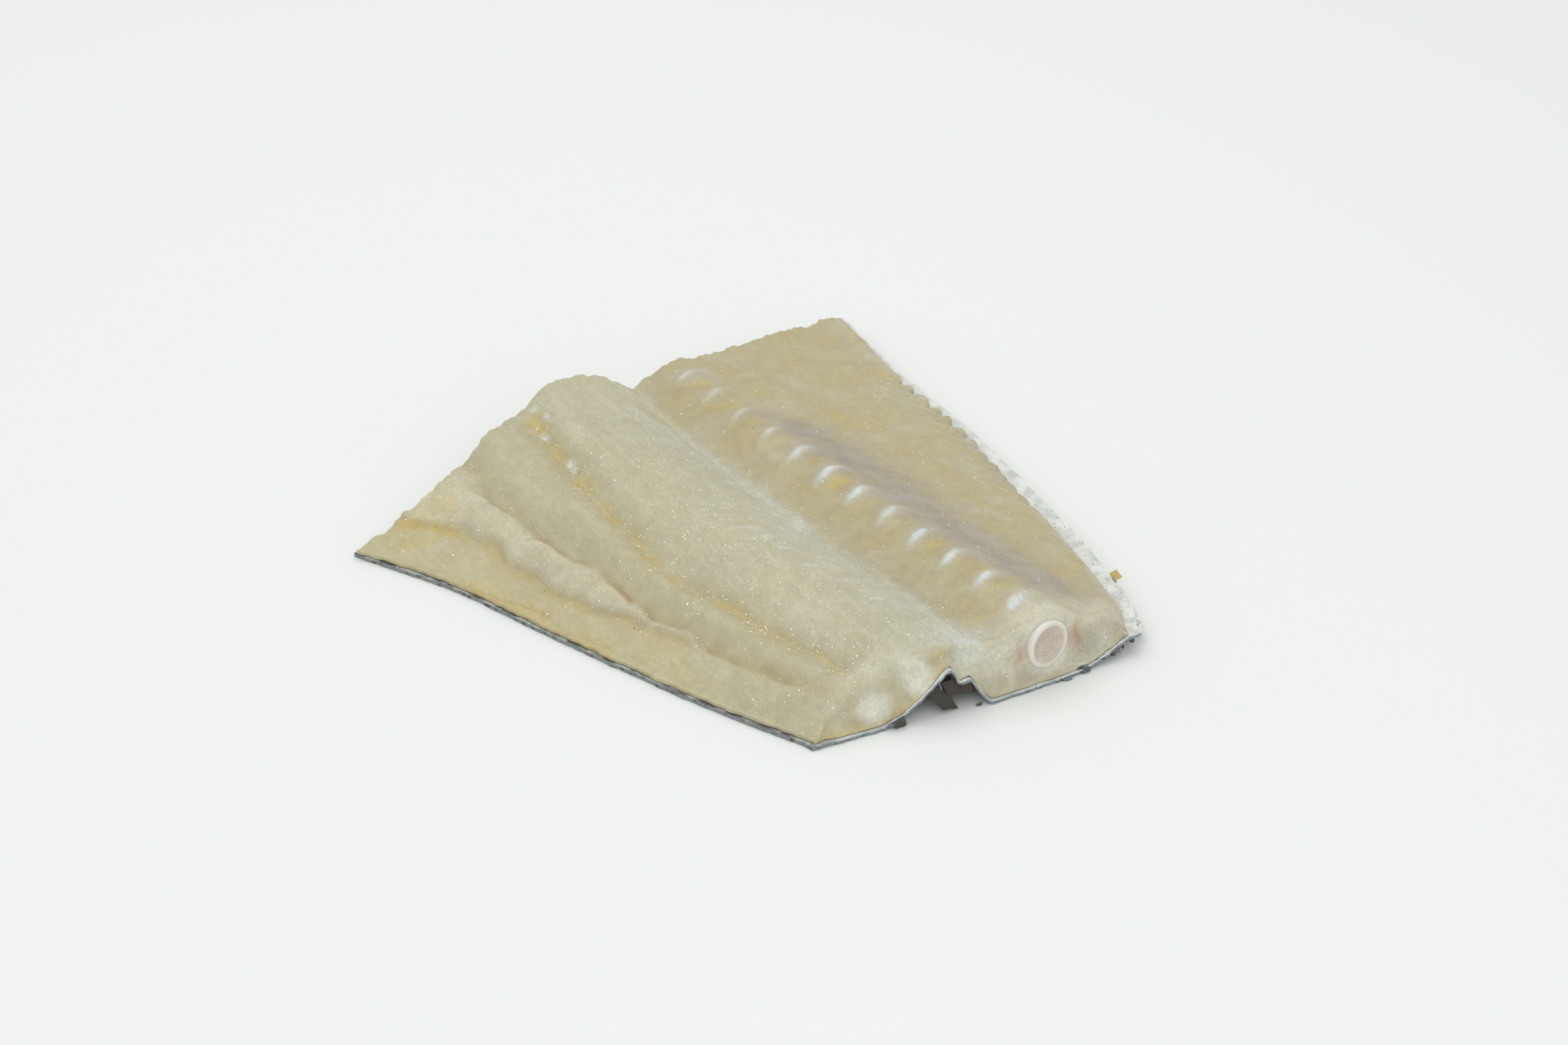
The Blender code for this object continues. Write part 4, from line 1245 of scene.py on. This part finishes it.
class COD_OT_fin_stub(bpy.types.Operator):
    """Makes the stub of the fin: rays side by side in a thin web"""

    bl_idname = "cod.fin_stub"
    bl_label = "Fin stub"

    def execute(self, context):
        low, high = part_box("fin_stub")
        along = np.linspace(0.0, 1.0, 46)[:, None]
        down = np.linspace(0.0, 1.0, 14)[None, :]
        ray = np.abs(np.sin(math.pi * along * 7.0))
        top_x, foot_x = low.x / MM + 0.9, high.x / MM - 0.9
        x = top_x + (foot_x - top_x) * down + 0.35 * ripple(along * 9, down * 6, 2.0, 71)
        ragged = 0.5 + 0.5 * ripple(along * 15.0, along * 0, 1.6, 72)
        z = high.z / MM - 0.4 + (low.z - high.z) / MM * down * (0.78 + 0.2 * ragged) + 0 * along
        y = low.y / MM + 0.3 + (high.y - low.y) / MM * along * (0.97 - 0.1 * down)
        half = (0.16 + 0.32 * ray) * (1.0 - 0.65 * down)
        grid = np.ones((46, 14))
        near_side = np.stack([(x - half) * grid, y * grid, z * grid], axis=2)
        far_side = np.stack([(x + half) * grid, y * grid, z * grid], axis=2)
        obj = two_sided("fin_rays", near_side - plan_shift(), far_side - plan_shift(), {})
        settle(obj, fin_finish(tints()), "fin_stub", "fin_stub")
        return {"FINISHED"}


def scatter(name, grains, template, centres, normals, rng, length_range, flatness):
    """One mesh of many small grains, each turned and sized on its own."""
    base, faces = template
    points, polygons = [], []
    for step in range(grains):
        normal = Vector(normals[step]).normalized()
        turn = normal.to_track_quat("Z", "Y").to_matrix()
        spin = rng.uniform(0.0, math.tau)
        length = length_range[0] + (length_range[1] - length_range[0]) * rng.uniform() ** 2.2
        width, height = length * rng.uniform(0.3, 0.8), length * rng.uniform(*flatness)
        local = base * np.array((length, width, height)) * 0.5
        local = local * rng.uniform(0.75, 1.2, local.shape)
        cos, sin = math.cos(spin), math.sin(spin)
        local = local @ np.array(((cos, sin, 0.0), (-sin, cos, 0.0), (0.0, 0.0, 1.0)))
        local = local @ np.array(turn).T
        polygons.append(faces + len(base) * step)
        points.append(local + centres[step] + np.array(normal) * height * 0.15)
    deselect_all()
    mesh = bpy.data.meshes.new(name)
    mesh.from_pydata(np.concatenate(points).tolist(), [], np.concatenate(polygons).tolist())
    obj = bpy.data.objects.new(name, mesh)
    bpy.context.scene.collection.objects.link(obj)
    return obj


def grain_template():
    """Points and faces of one rough grain, from a small ball of twenty faces."""
    deselect_all()
    bpy.ops.mesh.primitive_ico_sphere_add(subdivisions=1, radius=1.0)
    ball = bpy.context.object
    base = read_points(ball)
    faces = np.array([list(face.vertices) for face in ball.data.polygons])
    bpy.data.objects.remove(ball)
    return base, faces


def sample_flesh(weight_name, count, rng):
    """Random places on the flesh, more of them where the mark is higher."""
    mesh = bpy.data.objects["flesh_halves"].data
    mesh.calc_loop_triangles()
    corners = np.zeros(len(mesh.loop_triangles) * 3, np.int32)
    mesh.loop_triangles.foreach_get("vertices", corners)
    corners = corners.reshape(-1, 3)
    points = read_points(bpy.data.objects["flesh_halves"])
    weight = np.zeros(len(mesh.vertices), np.float32)
    mesh.attributes[weight_name].data.foreach_get("value", weight)
    under = np.zeros(len(mesh.vertices), np.float32)
    mesh.attributes["under"].data.foreach_get("value", under)
    first, second, third = (points[corners[:, step]] for step in range(3))
    cross = np.cross(second - first, third - first)
    area = np.linalg.norm(cross, axis=1)
    chance = (
        area * np.clip(weight[corners].mean(axis=1), 0.0, None) * (under[corners].max(axis=1) < 0.01)
        * (cross[:, 2] > 0)
    )
    chosen = rng.choice(len(corners), size=count, p=chance / chance.sum())
    a, b = rng.uniform(0, 1, (2, count, 1))
    a, b = np.where(a + b > 1, 1 - a, a), np.where(a + b > 1, 1 - b, b)
    places = first[chosen] + (second - first)[chosen] * a + (third - first)[chosen] * b
    return places, cross[chosen]


class COD_OT_salt(bpy.types.Operator):
    """Scatters the salt grains over the flesh"""

    bl_idname = "cod.salt"
    bl_label = "Salt"

    def execute(self, context):
        rng = np.random.default_rng(7)
        count = sizes().salt_grains
        places, normals = sample_flesh("salt", count, rng)
        largest = sizes().salt_size
        obj = scatter(
            "salt_grains", count, grain_template(), places, normals, rng, (largest * 0.3, largest),
            (0.2, 0.5),
        )
        settle(obj, salt_finish(tints()), "flesh")
        return {"FINISHED"}


def scrap(name, corners, thickness, seed):
    """A small crumpled sheet between four corners."""
    across, along = np.linspace(0.0, 1.0, 12)[None, :], np.linspace(0.0, 1.0, 9)[:, None]
    first, second, third, fourth = (np.array(corner) for corner in corners)
    across, along = across[..., None], along[..., None]
    places = (
        (first * (1 - across) + second * across) * (1 - along)
        + (fourth * (1 - across) + third * across) * along
    )
    x, y, z = (places[..., axis] for axis in range(3))
    tear = along[..., 0] ** 2 * (0.5 * ripple(x, y * 0, 1.1, seed) + 0.25 * ripple(x, y * 0, 0.5, seed + 1))
    z = np.maximum(z + 0.35 * ripple(x, y, 1.6, seed + 2), 0.02)
    half = 0.5 * thickness * (1.0 - 0.6 * along[..., 0]) * np.ones_like(x)
    upper = np.stack([x, y + tear, z + half], axis=2)
    lower = np.stack([x, y + tear + half, np.maximum(z - half, 0.0)], axis=2)
    return two_sided(name, upper, lower, {})


def join(name, pieces):
    """One piece from many, in the first one's place."""
    deselect_all()
    for piece in pieces:
        piece.select_set(True)
    bpy.context.view_layer.objects.active = pieces[0]
    bpy.ops.object.join()
    pieces[0].name = pieces[0].data.name = name
    pieces[0].select_set(False)
    return pieces[0]


class COD_OT_specks(bpy.types.Operator):
    """Adds the few dark specks on the flesh"""

    bl_idname = "cod.specks"
    bl_label = "Dark specks"

    def execute(self, context):
        rng = np.random.default_rng(9)
        plan = (
            (42.5, -29.3), (42.9, -32.5), (11.3, -4.5), (53.0, -46.0), (-42.0, -24.0), (-41.4, -25.2),
            (21.0, 30.0), (-52.0, 4.0),
        )
        points = read_points(bpy.data.objects["flesh_halves"])
        flat = shift_to_frame(np.array([(*place, 0.0) for place in plan]))[:, :2]
        nearest = []
        for place in flat:
            reach = np.hypot(points[:, 0] - place[0], points[:, 1] - place[1]) - points[:, 2] * 0.2
            nearest.append(points[int(np.argmin(reach))])
        up = np.tile((0.0, 0.0, 1.0), (len(plan), 1))
        obj = scatter(
            "dark_specks", len(plan), grain_template(), np.array(nearest), up, rng, (0.0005, 0.0009),
            (0.2, 0.3),
        )
        settle(obj, speck_finish(tints()), "flesh")
        return {"FINISHED"}


class COD_OT_scraps(bpy.types.Operator):
    """Adds the torn scraps of skin along the cut edges and the yellow tag on the right edge"""

    bl_idname = "cod.scraps"
    bl_label = "Scraps"

    def execute(self, context):
        rng = np.random.default_rng(11)
        dark = [
            ((-7.4, -84.0, 1.6), (-3.4, -84.5, 3.2), (-3.0, -85.2, 1.4), (-5.4, -84.9, 0.6)),
            ((38.2, -86.3, 1.0), (41.2, -86.7, 1.0), (41.6, -87.9, 0.2), (38.8, -87.4, 0.2)),
            ((43.6, -86.1, 1.7), (46.8, -86.3, 1.7), (46.8, -87.7, 0.5), (44.2, -87.0, 0.5)),
            ((20.0, -85.3, 0.8), (23.2, -85.8, 0.8), (23.0, -86.8, 0.1), (20.6, -86.4, 0.1)),
            ((53.6, -85.7, 2.9), (56.4, -85.3, 3.3), (56.2, -86.4, 2.0), (54.0, -86.4, 1.8)),
        ]
        # Dark sheets of crumpled skin hung in the tunnel under the fold, which stand in for the tunnel's
        # shade: painted shade
        tunnel = [
            ((3.0, -82.4, 7.4), (8.8, -83.0, 6.4), (11.2, -85.0, 0.6), (7.2, -84.6, 1.6)),
            ((7.6, -83.0, 7.8), (11.4, -83.4, 8.0), (12.6, -84.6, 4.6), (8.4, -84.4, 5.2)),
            ((11.8, -83.6, 7.4), (15.8, -84.2, 6.8), (16.6, -85.0, 3.4), (12.6, -84.8, 4.4)),
        ]
        for step in range(16):
            x = 16.5 + 2.9 * step + rng.uniform(-0.8, 0.8)
            z = max(0.4, (x - 44.0) * 0.2 + rng.uniform(0.3, 0.8))
            length, drop = rng.uniform(0.8, 2.2), rng.uniform(0.4, 0.8)
            y = -85.5 - 0.5 * smooth_step((x - 20.0) / 9.0) * smooth_step((58.0 - x) / 9.0)
            dark.append(
                (
                    (x, y, z + 0.3), (x + length, y, z + 0.4), (x + 0.8 * length, y - drop, z - 0.3),
                    (x + 0.3, y - 0.7 * drop, z - 0.4),
                )
            )
        pale = []
        for step in range(15):
            y = -64.0 - 1.25 * step
            x = 69.6 + (y + 64.0) * 0.27 + rng.uniform(-0.4, 0.3)
            z, length = rng.uniform(3.6, 4.8), rng.uniform(0.9, 2.0)
            pale.append(
                (
                    (x, y, z), (x + length, y + 0.5, z + rng.uniform(-0.3, 0.7)),
                    (x + 0.8 * length, y - 1.2, z), (x, y - 1.5, z - 0.2),
                )
            )
        tag = [((70.6, -60.2, 4.4), (73.0, -60.0, 5.2), (73.4, -62.2, 4.4), (71.2, -62.8, 4.0))]
        for name, plan, colour, thickness in (
            ("skin_scraps", dark, tints().skin_edge, 0.35),
            ("tunnel_shade_scraps", tunnel, tints().skin_outer, 0.35),
            ("frill", pale, tints().skin_inner, 0.3),
            ("yellow_tag", tag, tints().ochre, 0.8),
        ):
            pieces = [scrap(name, corners, thickness, 80 + number) for number, corners in enumerate(plan)]
            settle(join(name, pieces), scrap_finish(name, colour, tints().skin_outer), "skin")
        return {"FINISHED"}


class COD_OT_stage(bpy.types.Operator):
    """Makes the floor, the lights and the camera"""

    bl_idname = "cod.stage"
    bl_label = "Stage"

    def execute(self, context):
        scene = context.scene
        deselect_all()
        bpy.ops.mesh.primitive_plane_add(size=6.0, location=(0.0, 0.0, 0.0))
        floor = context.object
        floor.name = "floor"
        floor.data.materials.append(floor_finish(tints().floor))
        world = bpy.data.worlds.new("studio")
        scene.world = world
        world.use_nodes = True
        sky = world.node_tree.nodes["Background"]
        sky.inputs["Color"].default_value = (1.0, 1.0, 1.0, 1.0)
        sky.inputs["Strength"].default_value = WORLD_STRENGTH
        for name, place, size, power in LAMPS:
            lamp = bpy.data.lights.new(name, "AREA")
            lamp.size, lamp.energy = size, power
            lamp.color = (1.0, 1.0, 1.0)
            holder = bpy.data.objects.new(name, lamp)
            scene.collection.objects.link(holder)
            holder.location = place
            holder.rotation_euler = (-Vector(place)).to_track_quat("-Z", "Y").to_euler()
        scene.view_settings.view_transform = "Standard"
        azimuth, elevation = (math.radians(angle) for angle in CAMERA_TURN)
        level = math.cos(elevation)
        back = Vector((math.sin(azimuth) * level, -math.cos(azimuth) * level, math.sin(elevation)))
        target = Vector(CAMERA_TARGET)
        camera = bpy.data.cameras.new("camera")
        camera.lens, camera.sensor_width = sizes().camera_lens, SENSOR_WIDTH
        holder = bpy.data.objects.new("camera", camera)
        scene.collection.objects.link(holder)
        holder.location = target + back * sizes().camera_distance
        holder.rotation_euler = (-back).to_track_quat("-Z", "Y").to_euler()
        scene.camera = holder
        return {"FINISHED"}


class COD_PT_panel(bpy.types.Panel):
    """Lists the steps that make the cut"""

    bl_idname = "COD_PT_panel"
    bl_label = "Salted Cod"
    bl_space_type = "VIEW_3D"
    bl_region_type = "UI"
    bl_category = "Salted Cod"

    def draw(self, context):
        for step in STEPS:
            self.layout.operator(step)
        for group in (context.scene.cod_sizes, context.scene.cod_tints):
            for key in group.bl_rna.properties.keys():
                if key not in ("name", "rna_type"):
                    self.layout.prop(group, key)


STEPS = (
    "cod.flesh", "cod.skin", "cod.backbone", "cod.fin_stub", "cod.salt", "cod.specks", "cod.scraps",
    "cod.stage",
)
CLASSES = (
    CodTints, CodSizes, COD_OT_flesh, COD_OT_skin, COD_OT_backbone, COD_OT_fin_stub, COD_OT_salt,
    COD_OT_specks, COD_OT_scraps, COD_OT_stage, COD_PT_panel,
)


def register():
    for cls in CLASSES:
        bpy.utils.register_class(cls)
    bpy.types.Scene.cod_tints = PointerProperty(type=CodTints)
    bpy.types.Scene.cod_sizes = PointerProperty(type=CodSizes)


def unregister():
    del bpy.types.Scene.cod_sizes
    del bpy.types.Scene.cod_tints
    for cls in reversed(CLASSES):
        bpy.utils.unregister_class(cls)


def main():
    register()
    for step in STEPS:
        group, name = step.split(".")
        getattr(getattr(bpy.ops, group), name)()


if __name__ == "__main__":
    main()
